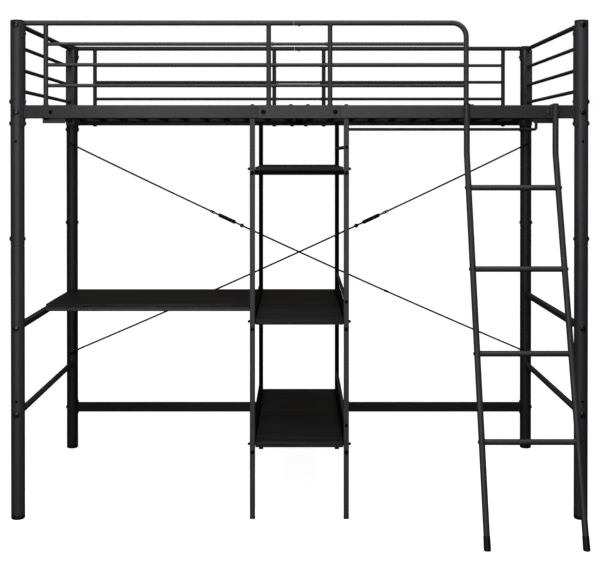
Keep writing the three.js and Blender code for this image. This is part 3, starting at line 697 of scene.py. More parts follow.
for end, sign in ends:
    deckPanel(end, sign)
low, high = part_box("deck_centre_beam")
draft = Draft()
slab(draft, low, high, 2 * mm)
# the centre beam takes the darker painted-shade deck coat
standIn("deck_centre_beam", draft, shadedDeckSteel)
print("deck")


# guards along the bed
guardSpec = {"top": 1.795, "rails": (1.719, 1.644, 1.569), "endX": 0.917, "middleX": 0.111, "gateX": 0.6035,
             "bend": 50 * mm, "tube": 9.5 * mm, "post": 8.75 * mm, "rail": 6.75 * mm, "link": 6 * mm,
             "joint": -20 * mm}
railTop = railSpec["high"]


def guardPost(draft, x, y):
    top, spec = guardSpec["top"], guardSpec
    pipe(draft, [at(x, y, railTop + 0.3 * mm), at(x, y, top)], spec["post"], 28)
    weldRing(draft, at(x, y, top - spec["tube"] + 0.5 * mm), (0, 0, 1), spec["post"])
    # a pressed collar where the tube stands on the rail
    collar = [(spec["post"] + 0.2 * mm, 0.0), (spec["post"] + 2.2 * mm, 0.0), (spec["post"] + 2.2 * mm, 1.4 * mm),
              (spec["post"] + 0.8 * mm, 2.6 * mm), (spec["post"] + 0.2 * mm, 2.6 * mm)]
    lathe(draft, collar + [collar[0]], Matrix.Translation((x, y, railTop + 0.4 * mm)), 28)


def guardRails(draft, x0, x1, y, radius, welds):
    for z in guardSpec["rails"]:
        pipe(draft, [at(x0, y, z), at(x1, y, z)], radius, 24)
        for x, side in welds:
            weldRing(draft, at(x + side * (guardSpec["post"] - 0.4 * mm), y, z), (1, 0, 0), radius)


def guardToPost(row, end, sign):
    node = f"guard_{row}_{end}"
    y, spec = rowY[row], guardSpec
    draft = Draft()
    joint = spec["joint"] + sign * 0.3 * mm
    outer = sign * (postX - postRadius - 2.2 * mm)
    pipe(draft, [at(joint, y, spec["top"]), at(outer, y, spec["top"])], spec["tube"], 32, 0.6 * mm)
    saddlePlate(draft, sign * postX, y, -sign, 1.742, upperHigh.z - 1 * mm, postRadius)
    weldRing(draft, at(sign * (postX - postRadius - 3.6 * mm), y, spec["top"]), (1, 0, 0), spec["tube"], 1.6 * mm)
    guardPost(draft, sign * spec["endX"], y)
    guardPost(draft, sign * spec["middleX"], y)
    guardRails(draft, sign * spec["middleX"], sign * spec["endX"], y, spec["rail"],
               ((sign * spec["middleX"], sign), (sign * spec["endX"], -sign)))
    if row == "back" and sign > 0:
        addLinks(draft, y)
    standIn(node, draft, coatFor(node))


def addLinks(draft, y):
    spec = guardSpec
    x0, x1 = -spec["middleX"] + spec["post"] + 0.3 * mm, spec["middleX"]
    guardRails(draft, x0, x1, y, spec["link"], ((x1, -1),))
    for z in spec["rails"]:
        for x, side in ((x0, 1), (x1 - spec["post"], -1)):
            socket = [(spec["link"] + 0.1 * mm, 0.0), (spec["rail"] + 0.4 * mm, 0.0),
                      (spec["rail"] + 0.4 * mm, 7 * mm), (spec["link"] + 0.1 * mm, 8 * mm)]
            lathe(draft, socket + [socket[0]], aim(at(x, y, z), (side, 0, 0)), 24)


def guardWithGate():
    y, spec = frontY, guardSpec
    draft = Draft()
    path = bendPath([at(spec["joint"] + 0.3 * mm, y, spec["top"]), at(spec["gateX"], y, spec["top"]),
                     at(spec["gateX"], y, railTop + 0.3 * mm)], spec["bend"], 14)
    pipe(draft, path, spec["tube"], 32, 0.6 * mm)
    guardPost(draft, spec["middleX"], y)
    guardRails(draft, spec["middleX"], spec["gateX"], y, spec["rail"],
               ((spec["middleX"], 1), (spec["gateX"], -1)))
    addLinks(draft, y)
    standIn("guard_front_right", draft, steel)


guardToPost("front", "left", -1)
guardWithGate()
guardToPost("back", "left", -1)
guardToPost("back", "right", 1)
print("guards")


# end guards: side members against the posts, rungs between them
endSpec = {"width": 40 * mm, "thickness": 20 * mm, "stileTop": 1.785, "beam": (1.463, 1.498),
           "rungs": ((1.790, 9.1 * mm), (1.710, 7 * mm), (1.629, 7 * mm), (1.552, 7 * mm))}


def endGuard(end, sign):
    node = f"end_guard_{end}"
    low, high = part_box(node)
    x, spec = sign * postX, endSpec
    draft = Draft()
    for y in (low.y + spec["thickness"] / 2, high.y - spec["thickness"] / 2):
        bar(draft, at(x, y, low.z), at(x, y, spec["stileTop"]), spec["width"], spec["thickness"], 4 * mm,
            (0, 1, 0))
    beamZ = sum(spec["beam"]) / 2
    bar(draft, at(x, low.y + 5 * mm, beamZ), at(x, high.y - 5 * mm, beamZ), 25 * mm,
        spec["beam"][1] - spec["beam"][0], 3 * mm)
    for level, (z, radius) in enumerate(spec["rungs"]):
        inset = 1 * mm if level == 0 else 8 * mm
        pipe(draft, [at(x, low.y + inset, z), at(x, high.y - inset, z)], radius, 24, 0.5 * mm)
        if level:
            for y in (low.y + spec["thickness"], high.y - spec["thickness"]):
                weldRing(draft, at(x, y, z), (0, 1, 0), radius)
    standIn(node, draft, steel)


# lower end bars and the back rail
def endBars(end, sign):
    x = sign * postX
    for node, corner in ((f"end_bar_upper_{end}", 3 * mm), (f"end_bar_lower_{end}", 0)):
        low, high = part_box(node)
        draft = Draft()
        z = (low.z + high.z) / 2
        start, finish = at(x, low.y + 3 * mm, z), at(x, high.y - 3 * mm, z)
        if corner:
            bar(draft, start, finish, high.x - low.x, high.z - low.z, corner)
        else:
            pipe(draft, [start, finish], (high.x - low.x) / 2, 32, 0.8 * mm)
        standIn(node, draft, steel)


def lowerBackRail():
    low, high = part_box("back_lower_rail")
    z0, z1 = low.z + 8 * mm, high.z - 8 * mm
    outer = postX - postRadius - 2.6 * mm
    draft = Draft()
    bar(draft, at(-outer, backY, (z0 + z1) / 2), at(outer, backY, (z0 + z1) / 2), 22 * mm, z1 - z0, 3 * mm)
    for sign in (-1, 1):
        saddlePlate(draft, sign * postX, backY, -sign, low.z, high.z, postRadius)
        x = sign * (outer - 1 * mm)
        weldLine(draft, [at(x, backY - 11 * mm, z0), at(x, backY - 11 * mm, z1)], 1.5 * mm)
        weldLine(draft, [at(x, backY + 11 * mm, z0), at(x, backY + 11 * mm, z1)], 1.5 * mm)
    # the back rail takes the painted-shade copy of the coat
    standIn("back_lower_rail", draft, shadedBackSteel)


for end, sign in ends:
    endGuard(end, sign)
    endBars(end, sign)
lowerBackRail()
print("end guards and lower bars")


# shelf tower
shelfSpec = {"legJoint": 0.738,
             "bolts": {"top": 1.253, "middle": 0.689, "bottom": 0.243}}


def shelfLeg(row, end):
    node = f"shelf_leg_{row}_{end}"
    low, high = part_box(node)
    centre = (low + high) / 2
    size = high.x - low.x
    joint = shelfSpec["legJoint"]
    draft = Draft()
    bar(draft, at(centre.x, centre.y, low.z + 2 * mm), at(centre.x, centre.y, joint - 0.4 * mm), size, size,
        2.5 * mm, (0, 1, 0))
    bar(draft, at(centre.x, centre.y, joint + 0.4 * mm), at(centre.x, centre.y, high.z), size, size,
        2.5 * mm, (0, 1, 0))
    bar(draft, at(centre.x, centre.y, joint - 3 * mm), at(centre.x, centre.y, joint + 3 * mm), size - 3 * mm,
        size - 3 * mm, 1.5 * mm, (0, 1, 0))
    # back legs take the near-black painted-shade coat, front legs their own coat
    standIn(node, draft, legSteel if row == "front" else shadedShelfSteel)
    plug = Draft()
    bar(plug, at(centre.x, centre.y, low.z), at(centre.x, centre.y, low.z + 7 * mm), size + 0.8 * mm,
        size + 0.8 * mm, 2.8 * mm, (0, 1, 0), 1.2 * mm)
    makePiece(f"leg-plug-{row}-{end}", plug, plastic, "root")


def shelfFrame(level):
    node = f"shelf_frame_{level}"
    low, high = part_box(node)
    legLow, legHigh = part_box("shelf_leg_front_right")
    legX, half = (legLow.x + legHigh.x) / 2, 9 * mm
    boardLow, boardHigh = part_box(f"shelf_board_{level}")
    bolt = shelfSpec["bolts"][level]
    draft = Draft()
    sideFront, sideBack = legHigh.y + 0.3 * mm, high.y
    if level == "top":
        sideLow, sideTop, firstY = low.z, high.z, frontY + 0.200
        slab(draft, at(boardLow.x + 0.8 * mm, low.y, low.z), at(boardHigh.x - 0.8 * mm, sideFront + 12 * mm, high.z),
             2 * mm)
        slab(draft, at(-legX, sideFront + 2 * mm, low.z), at(legX, sideFront + 12 * mm, high.z), 2 * mm)
    else:
        sideLow, sideTop, firstY = boardHigh.z - 22 * mm, high.z, frontY + 0.120
    for sign in (-1, 1):
        x = sign * legX
        slab(draft, at(x - half, sideFront, sideLow), at(x + half, sideBack, sideTop), 2.5 * mm)
        if level != "top":
            slab(draft, at(x - half, sideFront, low.z), at(x + half, sideFront + 3 * mm, sideLow + 2 * mm))
            slab(draft, at(x - half, sideBack - 3 * mm, low.z), at(x + half, sideBack, sideLow + 2 * mm))
    barLow = low.z if level == "top" else bolt
    lastY = boardHigh.y - 20 * mm
    for i in range(5):
        y = firstY + (lastY - firstY) * i / 4
        slab(draft, at(-legX, y - 7.5 * mm, barLow), at(legX, y + 7.5 * mm, boardLow.z - 0.3 * mm), 2 * mm)
    # the frame takes the near-black painted-shade coat
    standIn(node, draft, shadedShelfSteel)


def roundedBoard(low, high, corners, edge=1.2 * mm):
    outline = []
    for cx, cy, first, radius in ((high.x, high.y, 0, corners[0]), (low.x, high.y, 90, corners[1]),
                                  (low.x, low.y, 180, corners[2]), (high.x, low.y, 270, corners[3])):
        sx = -1 if cx == high.x else 1
        sy = -1 if cy == high.y else 1
        for i in range(9):
            angle = math.radians(first + 90 * i / 8)
            outline.append((cx + sx * radius + radius * math.cos(angle), cy + sy * radius + radius * math.sin(angle)))
    centre = (low + high) / 2
    size = high - low
    lead = 0.4 * mm
    levels = ((low.z, 1.5), (low.z, 1), (low.z + edge * 0.3, 0.3), (low.z + edge, 0), (low.z + edge + lead, 0),
             (high.z - edge - lead, 0), (high.z - edge, 0), (high.z - edge * 0.3, 0.3), (high.z, 1), (high.z, 1.5))
    rings = []
    for z, inset in levels:
        kx, ky = 1 - 2 * edge * inset / size.x, 1 - 2 * edge * inset / size.y
        rings.append([at(centre.x + (x - centre.x) * kx, centre.y + (y - centre.y) * ky, z) for x, y in outline])
    draft = Draft()
    addRings(draft, rings)
    return draft


def boardPiece(node, corners):
    low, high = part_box(node)
    standIn(node, roundedBoard(low, high, corners), foil, 50)


for row, _ in rows:
    for end, _ in ends:
        shelfLeg(row, end)
for level in ("top", "middle", "bottom"):
    shelfFrame(level)
    boardPiece(f"shelf_board_{level}", (2 * mm, 2 * mm, 6 * mm, 6 * mm))
    low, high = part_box(f"stopper_bar_{level}")
    centre = (low + high) / 2
    draft = Draft()
    pipe(draft, [at(centre.x, low.y, centre.z), at(centre.x, high.y, centre.z)], 7 * mm, 28, 0.6 * mm)
    standIn(f"stopper_bar_{level}", draft, steel)
print("shelf tower")


# desk
def deskFrame():
    low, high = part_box("desk_frame")
    draft = Draft()
    for y0, y1 in ((low.y, low.y + 18 * mm), (high.y - 18 * mm, high.y)):
        slab(draft, at(low.x, y0, low.z), at(high.x, y1, high.z), 2.5 * mm)
    for i in range(5):
        x = low.x + 9 * mm + (high.x - low.x - 18 * mm) * i / 4
        slab(draft, at(x - 9 * mm, low.y + 1 * mm, low.z), at(x + 9 * mm, high.y - 1 * mm, high.z), 2.5 * mm)
    standIn("desk_frame", draft, steel)


boardPiece("desk_board", (2 * mm, 2 * mm, 12 * mm, 2 * mm))
deskFrame()
print("desk")


# clothes bar under the deck
def clothesBar():
    low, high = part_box("hanger_bar")
    radius = (high.y - low.y) / 2
    y, z = (low.y + high.y) / 2, low.z + radius
    x0, x1 = low.x + radius, high.x - radius
    draft = Draft()
    pipe(draft, bendPath([at(x0, y, high.z), at(x0, y, z), at(x1, y, z), at(x1, y, high.z)], 8 * mm, 8), radius, 24)
    # the clothes bar takes the painted-shade copy of the coat
    standIn("hanger_bar", draft, shadedBackSteel)


clothesBar()
print("clothes bar")


# ladder
ladderSpec = {"radius": 11 * mm, "standOff": 26 * mm, "bendZ": 1.325, "reach": 333.7 * mm, "top": 1.502,
              "shift": {"left": 24 * mm, "right": 36 * mm}, "x": {"left": 0.602, "right": 0.921},
              "rungs": (0.342, 0.631, 0.917, 1.201), "rungRadius": 10.2 * mm, "bend": 150 * mm,
              "hookHalf": 13 * mm, "tongue": {"left": (13.5 * mm, 27 * mm), "right": (-12 * mm, 12 * mm)}}


def stilePoint(end, z):
    spec = ladderSpec
    down = (spec["bendZ"] - z) / spec["bendZ"]
    y = frontY - spec["standOff"] - (spec["reach"] - spec["standOff"]) * down
    return at(spec["x"][end] + spec["shift"][end] * down, y, z)


def ladderStile(end):
    spec = ladderSpec
    x = spec["x"][end]
    draft = Draft()
    top = at(x, frontY - spec["standOff"], spec["top"] - 3 * mm)
    foot = stilePoint(end, 24 * mm)
    pipe(draft, bendPath([top, stilePoint(end, spec["bendZ"]), foot], spec["bend"], 10), spec["radius"], 32)
    face = frontY - railSpec["thickness"] / 2 - 0.3 * mm
    rear = frontY + railSpec["thickness"] / 2 + 0.3 * mm
    over, t = railTop + 0.3 * mm, 3 * mm
    tongue = [x + edge for edge in spec["tongue"][end]]
    plate = (x - spec["hookHalf"], max(x + spec["hookHalf"], tongue[1]))
    slab(draft, at(plate[0], face - t, railSpec["low"] + 2 * mm), at(plate[1], face, railTop - 2 * mm))
    width = tongue[1] - tongue[0]
    mid = (tongue[0] + tongue[1]) / 2
    hookLine = bendPath([at(mid, face - t / 2, railTop - 6 * mm), at(mid, face - t / 2, over + t / 2),
                         at(mid, rear + t / 2, over + t / 2), at(mid, rear + t / 2, over - 28 * mm)], 2.2 * mm, 4)
    sweep(draft, hookLine, roundedRect(width, t, 0.8 * mm), None, 0.5 * mm)
    for side in (-1, 1):
        weldX = x + side * 7 * mm
        weldLine(draft, [at(weldX, face - t - 1 * mm, railSpec["low"] + 4 * mm),
                         at(weldX, face - t - 1 * mm, railTop - 4 * mm)])
    standIn(f"ladder_stile_{end}", draft, steel)
    cap = Draft()
    r = spec["radius"] + 0.4 * mm
    curve = [(r, 0.0), (r, 2 * mm), (r - 1 * mm, 3.4 * mm), (r - 4 * mm, 4.4 * mm), (1 * mm, 4.8 * mm)]
    lathe(cap, curve, Matrix.Translation(top), 28)
    makePiece(f"ladder-cap-{end}", cap, plastic, "ladder")


# a slipped-on shoe whose sole lies flat on the floor
def ladderShoe(end):
    spec = ladderSpec
    upper, lower = stilePoint(end, 46 * mm), stilePoint(end, 0)
    axis = (lower - upper).normalized()
    side = at(0, 0, 1).cross(axis).normalized()
    over = axis.cross(side).normalized()
    sides = 32
    rings = []
    for share, extra in ((0.0, 0.1), (0.03, 0.8), (0.5, 0.9), (0.55, 1.2), (0.9, 1.3)):
        centre = upper.lerp(lower, share)
        r = spec["radius"] + extra * mm
        rings.append([centre + side * (r * math.cos(2 * math.pi * i / sides)) +
                      over * (r * math.sin(2 * math.pi * i / sides)) for i in range(sides)])
    rim = rings.pop()
    for lift in (5 * mm, 0.6 * mm):
        rim = [v + axis * ((v.z - lift) / -axis.z) for v in rim]
        rings.append(rim)
    centre = sum(rim, Vector()) / sides
    sole = [centre + (v - centre) * 0.94 for v in rim]
    rings.append([at(v.x, v.y, 0) for v in sole])
    draft = Draft()
    addRings(draft, rings)
    makePiece(f"ladder-shoe-{end}", draft, plastic, "ladder")


def ladderRung(index):
    node = f"ladder_rung_{index + 1}"
    z = ladderSpec["rungs"][index]
    left, right = stilePoint("left", z), stilePoint("right", z)
    left.x += ladderSpec["radius"] - 2 * mm
    right.x -= ladderSpec["radius"] - 2 * mm
    draft = Draft()
    pipe(draft, [left, right], ladderSpec["rungRadius"], 32)
    for point, step in ((left, 2.2 * mm), (right, -2.2 * mm)):
        weldRing(draft, point + at(step, 0, 0), (1, 0, 0), ladderSpec["rungRadius"] - 0.3 * mm, 1.0 * mm, 28)
    standIn(node, draft, steel)


for end, _ in ends:
    ladderStile(end)
    ladderShoe(end)
for index in range(4):
    ladderRung(index)
print("ladder")


# cross bracing: sagged rods, turnbuckles, couplings
braceSpec = {"radius": 3.8 * mm, "sag": 17 * mm, "topZ": 1.368, "bottomZ": 0.436, "eyeX": 0.255,
             "connectorX": 0.386, "couplingX": 0.389, "turnLow": 0.283, "turnHigh": 0.359,
             "body": 8.5 * mm}


def bracePoint(side, x, y):
    spec = braceSpec
    t = (x * -side + postX) / (2 * postX)
    z = spec["topZ"] + (spec["bottomZ"] - spec["topZ"]) * t - 4 * spec["sag"] * t * (1 - t)
    return at(x, y, z)


def rodLine(side, x0, x1, y, steps):
    return [bracePoint(side, x0 + (x1 - x0) * i / steps, y) for i in range(steps + 1)]


def threaded(draft, side, x0, x1, y, radius, pitch=1.25 * mm):
    start, finish = bracePoint(side, x0, y), bracePoint(side, x1, y)
    length = (finish - start).length
    turns = int(length / pitch)
    profile = []
    for i in range(turns * 2 + 1):
        profile.append((radius - (0.45 * mm if i % 2 else 0.0), i * pitch / 2))
    lathe(draft, profile, aim(start, finish - start), 16)


def sleeve(draft, side, x, y, length, radius, hexed=False):
    along = (bracePoint(side, x + 5 * mm, y) - bracePoint(side, x - 5 * mm, y)).normalized()
    start = bracePoint(side, x, y) - along * length / 2
    ease = 0.8 * mm
    profile = [(radius - ease, 0.0), (radius, ease), (radius, length - ease), (radius - ease, length)]
    lathe(draft, profile, aim(start, along), 6 if hexed else 24)


# a forged eye that the lower rod is hooked into
def eyeRing(draft, side, x, y):
    centre = bracePoint(side, x, y)
    wire, ring = 4.3 * mm, 5.1 * mm
    count = 24
    verts, faces = [], []
    for i in range(count):
        angle = 2 * math.pi * i / count
        for k in range(10):
            turn = 2 * math.pi * k / 10
            r = ring + wire * math.cos(turn)
            verts.append(centre + at(r * math.cos(angle), wire * math.sin(turn), r * math.sin(angle)))
    for i in range(count):
        for k in range(10):
            a, b = (i + 1) % count, (k + 1) % 10
            faces.append((i * 10 + k, a * 10 + k, a * 10 + b, i * 10 + b))
    draft.add(verts, faces)


# the rod's end is bent back on itself through a clamp
def clampedLoop(draft, side, x, y):
    along = (bracePoint(side, x + 5 * mm, y) - bracePoint(side, x - 5 * mm, y)).normalized()
    across = at(0, -1, 0).cross(along).normalized()
    centre = bracePoint(side, x, y)
    reach, half, wire = 12.5 * mm, 3.4 * mm, 2.6 * mm
    path = []
    for i in range(9):
        angle = math.pi * (i / 8 - 0.5)
        path.append(centre + along * (reach - half + half * math.cos(angle)) + across * half * math.sin(angle))
    for i in range(9):
        angle = math.pi * (i / 8 + 0.5)
        path.append(centre + along * (half - reach + half * math.cos(angle)) + across * half * math.sin(angle))
    path.append(path[0] + along * 1.5 * mm)
    pipe(draft, path, wire, 12, 0.4 * mm)
    bar(draft, centre - along * 5 * mm, centre + along * 5 * mm, 12.4 * mm, 7.2 * mm, 2 * mm, at(0, -1, 0))


def upperRod(name, side, y):
    spec = braceSpec
    draft = Draft()
    inside = at(side * postX, backY - postRadius + 12 * mm, 1.367)
    elbow = bracePoint(side, side * postX, y)
    elbow.z = 1.367
    path = bendPath([inside, elbow, bracePoint(side, side * (postX - 40 * mm), y)], 4 * mm, 5)
    path += rodLine(side, side * (postX - 60 * mm), side * (spec["connectorX"] + 8 * mm), y, 12)
    pipe(draft, path, spec["radius"], 16)
    threaded(draft, side, side * (spec["connectorX"] - 8 * mm), side * (spec["turnHigh"] - 13 * mm), y,
             spec["radius"] + 0.2 * mm)
    clampedLoop(draft, side, side * spec["connectorX"], y)
    standIn(name, draft, rodBlack)


def lowerRod(name, side, y):
    spec = braceSpec
    draft = Draft()
    inside = at(-side * postX, backY - postRadius + 12 * mm, 0.428)
    elbow = bracePoint(side, -side * postX, y)
    elbow.z = 0.428
    path = rodLine(side, side * spec["eyeX"], -side * (postX - 60 * mm), y, 24)
    path += bendPath([bracePoint(side, -side * (postX - 40 * mm), y), elbow, inside], 4 * mm, 5)
    pipe(draft, path, spec["radius"], 16)
    threaded(draft, side, side * (spec["eyeX"] + 8 * mm), side * (spec["turnLow"] + 13 * mm), y,
             spec["radius"] + 0.2 * mm)
    eyeRing(draft, side, side * spec["eyeX"], y)
    sleeve(draft, side, -side * spec["couplingX"], y, 18 * mm, 5 * mm)
    standIn(name, draft, rodBlack)


def turnbuckle(name, side, y):
    spec = braceSpec
    upper, lower = bracePoint(side, side * spec["turnHigh"], y), bracePoint(side, side * spec["turnLow"], y)
    length = (lower - upper).length
    place = aim(upper, lower - upper)
    draft = Draft()
    bore, r = spec["radius"] + 0.5 * mm, spec["body"]
    ease = 6 * mm
    profile = [(bore, 0.0), (r - 3.4 * mm, 0.0), (r - 2.4 * mm, 1 * mm), (r - 0.3 * mm, ease - 1 * mm), (r, ease),
               (r, length - ease), (r - 0.3 * mm, length - ease + 1 * mm), (r - 2.4 * mm, length - 1 * mm),
               (r - 3.4 * mm, length), (bore, length), (bore, 0.0)]
    lathe(draft, profile, place, 24)
    standIn(name, draft, rodBlack)


for letter, side in (("a", -1), ("b", 1)):
    y = middle(f"brace_{letter}_turnbuckle").y
    upperRod(f"brace_{letter}_upper_rod", side, y)
    turnbuckle(f"brace_{letter}_turnbuckle", side, y)
    lowerRod(f"brace_{letter}_lower_rod", side, y)
print("cross bracing")


# fasteners: pan heads with hex sockets, cap nuts; screwHead can add washers, but no screw here asks for one
screwSpec = {"headRadius": 8 * mm, "headRise": 4.4 * mm, "socket": 2.6 * mm, "washer": 9.2 * mm}


def screwHead(draft, point, direction, size=1.0, washer=False):
    spec = screwSpec
    place = aim(point, direction)
    r, rise, socket = spec["headRadius"] * size, spec["headRise"] * size, spec["socket"] * size
    sides = 24
    base = 0.0
    if washer:
        w = spec["washer"] * size
        lathe(draft, [(w - 0.4 * mm, 0.0), (w, 0.3 * mm), (w, 1.0 * mm), (w - 0.4 * mm, 1.3 * mm)], place, 28)
        base = 1.2 * mm
    rings = [(r * 0.985, base)]
    for i in range(6):
        angle = i / 6 * math.pi / 2
        rings.append((r * math.cos(angle) * 0.55 + r * 0.45, base + rise * 0.15 + rise * 0.85 * math.sin(angle)))
    loops = [[place @ at(x, y, z) for x, y in circle(radius, sides)] for radius, z in rings]
    for depth in (0.0, -rise * 0.62):
        loop = []
        for i in range(sides):
            angle = 2 * math.pi * i / sides
            hexReach = socket / math.cos((angle + math.pi / 6) % (math.pi / 3) - math.pi / 6)
            loop.append(place @ at(hexReach * math.cos(angle), hexReach * math.sin(angle), base + rise + depth))
        loops.append(loop)
    addRings(draft, loops)


def capNut(draft, point, direction, size=1.0):
    place = aim(point, direction)
    r = 6.2 * mm * size
    lathe(draft, [(r - 0.5 * mm, 0.0), (r, 0.5 * mm), (r, 5 * mm * size), (r - 0.6 * mm, 5.6 * mm * size)], place, 6)
    dome = [(5.2 * mm * size, 5.4 * mm * size)]
    for i in range(1, 6):
        angle = i / 6 * math.pi / 2
        dome.append((5.2 * mm * size * math.cos(angle), (5.4 + 4.2 * math.sin(angle)) * mm * size))
    lathe(draft, dome, place, 20)


postScrewSpec = {"faceHeights": (1.788, 1.473, 0.694, 0.381), "faceSize": 1.35,
                 "sideHeights": (1.757, 1.511, 1.432, 1.0145), "outerSize": 1.05, "innerSize": 0.85,
                 "saddle": 3 * mm, "backHeight": 0.1835, "backSize": 0.9}


def postScrews():
    spec = postScrewSpec
    seat = postRadius - 0.3 * mm
    for row, outward in rows:
        draft = Draft()
        y = rowY[row]
        for _, sign in ends:
            x = sign * postX
            for z in spec["faceHeights"]:
                screwHead(draft, at(x, y + outward * (postRadius - 0.5 * mm), z), (0, outward, 0), spec["faceSize"])
            for z in spec["sideHeights"]:
                plate = spec["saddle"] if z > 1.1 else 0
                screwHead(draft, at(x - sign * (seat + plate), y, z), (-sign, 0, 0), spec["innerSize"])
                if z < 1.7:
                    screwHead(draft, at(x + sign * seat, y, z), (sign, 0, 0), spec["outerSize"])
            if row == "back":
                screwHead(draft, at(x + sign * seat, y, spec["backHeight"]), (sign, 0, 0), spec["backSize"])
        makePiece(f"post-screws-{row}", draft, glossBolt, "root")


railScrewSpec = {"spliceX": 0.130, "spliceZ": 1.4735, "plate": 3.3 * mm, "endX": 0.898, "endZ": 1.4725,
                 "beamX": 0.031, "legX": 0.170}


def railScrews():
    spec = railScrewSpec
    half = railSpec["thickness"] / 2
    for row, outward in rows:
        draft = Draft()
        y = rowY[row]
        for sign in (-1, 1):
            face = at(sign * spec["spliceX"], y + outward * (half + spec["plate"]), spec["spliceZ"])
            screwHead(draft, face, (0, outward, 0), 1.05)
            if sign < 0 or row == "back":
                screwHead(draft, at(sign * spec["endX"], y + outward * half, spec["endZ"]), (0, outward, 0), 0.9)
            gated = row == "front" and sign > 0
            for x in (guardSpec["gateX"] if gated else guardSpec["endX"], guardSpec["middleX"]):
                screwHead(draft, at(sign * x, y, railSpec["low"]), (0, 0, -1), 1.15)
            screwHead(draft, at(sign * spec["beamX"], y, railSpec["low"]), (0, 0, -1), 1.1)
            for x in (spec["beamX"], spec["legX"]):
                screwHead(draft, at(sign * x, y, railTop), (0, 0, 1), 0.9)
        screwHead(draft, at(0.0, y, guardSpec["top"] - guardSpec["tube"] + 0.3 * mm), (0, 0, -1), 0.6)
        makePiece(f"rail-screws-{row}", draft, mattBolt, "root")
    # the right-hand one was painted with the rail
    draft = Draft()
    screwHead(draft, at(spec["endX"], frontY - half, spec["endZ"]), (0, -1, 0), 1.0)
    makePiece("rail-screw-painted", draft, steel, "root")


shelfScrewSpec = {"nutHeights": (1.268, 0.715, 0.271), "spareHole": 4.2 * mm}


def shelfScrews():
    draft = Draft()
    legLow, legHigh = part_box("shelf_leg_front_right")
    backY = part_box("shelf_leg_back_right")[1].y
    legX = (legLow.x + legHigh.x) / 2
    for sign in (-1, 1):
        for z in shelfSpec["bolts"].values():
            screwHead(draft, at(sign * legX, legLow.y, z), (0, -1, 0), 0.9)
            screwHead(draft, at(sign * legX, backY, z), (0, 1, 0), 0.9)
        for z in shelfScrewSpec["nutHeights"]:
            capNut(draft, at(sign * legHigh.x, (legLow.y + legHigh.y) / 2, z), (sign, 0, 0), 0.85)
    # each spare hole is drawn as a shallow dark dish: painted shade for the inside of the hole
    holes = Draft()
    r = shelfScrewSpec["spareHole"]
    rim = [(r, -0.6 * mm), (r, 0.0), (r - 0.4 * mm, 0.15 * mm), (r - 1 * mm, -0.4 * mm), (0.5 * mm, -0.4 * mm)]
    for level in ("top", "middle", "bottom"):
        z = middle(f"stopper_bar_{level}").z
        screwHead(draft, at(legX, legLow.y, z), (0, -1, 0), 0.75)
        screwHead(draft, at(legX, backY, z), (0, 1, 0), 0.75)
        lathe(holes, rim, aim(at(-legX, legLow.y, z), (0, -1, 0)), 20)
    makePiece("shelf-screws", draft, mattBolt, "root")
    makePiece("leg-spare-holes", holes, plastic, "root")


def ladderScrews():
    draft = Draft()
    for z in ladderSpec["rungs"]:
        left, right = stilePoint("left", z), stilePoint("right", z)
        r = ladderSpec["radius"] - 0.4 * mm
        screwHead(draft, left - at(r, 0, 0), (-1, 0, 0), 0.72)
        screwHead(draft, right + at(r, 0, 0), (1, 0, 0), 0.72)
    makePiece("ladder-screws", draft, mattBolt, "ladder")


postScrews()
railScrews()
shelfScrews()
ladderScrews()
print("fasteners")


# plain pale floor and soft studio light
studioSpec = {"floorTone": (0.8, 0.8, 0.8, 1), "bounceTone": (0.05, 0.05, 0.05, 1), "glowNear": 0.93, "glowFar": 1.0,
              "shadeReach": (1.3, 2.6), "sky": 0.075, "skyTint": (1.0, 0.93, 0.88, 1), "frontTint": (0.97, 0.97, 1.0)}
lampSpec = {
    "frontLamp": {"place": (-0.8, -3.6, 0.95), "target": (-0.1, 0.0, 0.8), "size": (3.4, 2.4), "power": 45},
    "topLamp": {"place": (0.0, -2.1, 4.0), "target": (0.0, 0.1, 1.4), "size": (3.6, 1.6), "power": 92},
    "stripLamp": {"place": (-0.75, -4.3, 1.5), "target": (0.0, 0.0, 1.2), "size": (0.10, 2.6), "power": 3},
    "sparkLamp": {"place": (-0.4, -3.6, 3.6), "target": (0.0, 0.0, 1.2), "size": (0.3, 0.3), "power": 9},
}


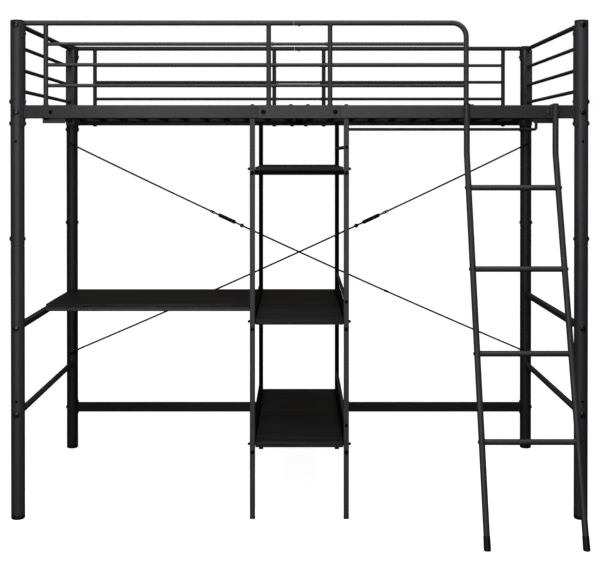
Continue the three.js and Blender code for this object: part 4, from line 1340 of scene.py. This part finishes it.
def addLamp(name, spec):
    data = bpy.data.lights.new(name, "AREA")
    data.shape = "RECTANGLE"
    data.size, data.size_y = spec["size"]
    data.energy = spec["power"]
    data.color = studioSpec["frontTint"]
    lamp = bpy.data.objects.new(name, data)
    bpy.context.scene.collection.objects.link(lamp)
    lamp.location = spec["place"]
    lamp.rotation_euler = (Vector(spec["target"]) - lamp.location).to_track_quat("-Z", "Y").to_euler()
    lamp.visible_camera = False


# the floor glows white further out, so that only soft contact shadows show
def addFloor(spec):
    mesh = bpy.data.meshes.new("studioFloor")
    reach = 40.0
    mesh.from_pydata([(-reach, -reach, 0), (reach, -reach, 0), (reach, reach, 0), (-reach, reach, 0)], [],
                     [(0, 1, 2, 3)])
    material, tree, shader = newMaterial("paleFloor")
    shader.inputs["Roughness"].default_value = 0.9
    shader.inputs["Specular IOR Level"].default_value = 0.0
    shader.inputs["Emission Color"].default_value = (1, 1, 1, 1)
    seen = node(tree, "ShaderNodeLightPath").outputs["Is Camera Ray"]
    where = node(tree, "ShaderNodeTexCoord").outputs["Object"]
    away = node(tree, "ShaderNodeVectorMath", {0: where}, operation="LENGTH").outputs["Value"]
    near, far = spec["shadeReach"]
    glow = mapRange(tree, away, near, far, spec["glowNear"], spec["glowFar"])
    seenGlow = node(tree, "ShaderNodeMath", {0: glow, 1: seen}, operation="MULTIPLY").outputs[0]
    tree.links.new(seenGlow, shader.inputs["Emission Strength"])
    tree.links.new(mixColour(tree, seen, spec["bounceTone"], spec["floorTone"]), shader.inputs["Base Color"])
    mesh.materials.append(material)
    floor = bpy.data.objects.new("studioFloor", mesh)
    bpy.context.scene.collection.objects.link(floor)
    floor.location.z = -0.5 * mm
    floor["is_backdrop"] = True


def addSky(spec):
    world = bpy.data.worlds.new("studioSky")
    bpy.context.scene.world = world
    world.use_nodes = True
    tree = world.node_tree
    background = tree.nodes["Background"]
    seen = node(tree, "ShaderNodeLightPath").outputs["Is Camera Ray"]
    tree.links.new(mixColour(tree, seen, spec["skyTint"], (1, 1, 1, 1)), background.inputs["Color"])
    tree.links.new(mapRange(tree, seen, 0, 1, spec["sky"], 1.0), background.inputs["Strength"])


addFloor(studioSpec)
addSky(studioSpec)
for name, spec in lampSpec.items():
    addLamp(name, spec)
bpy.context.scene.view_settings.view_transform = "Standard"
print("studio")

low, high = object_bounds()
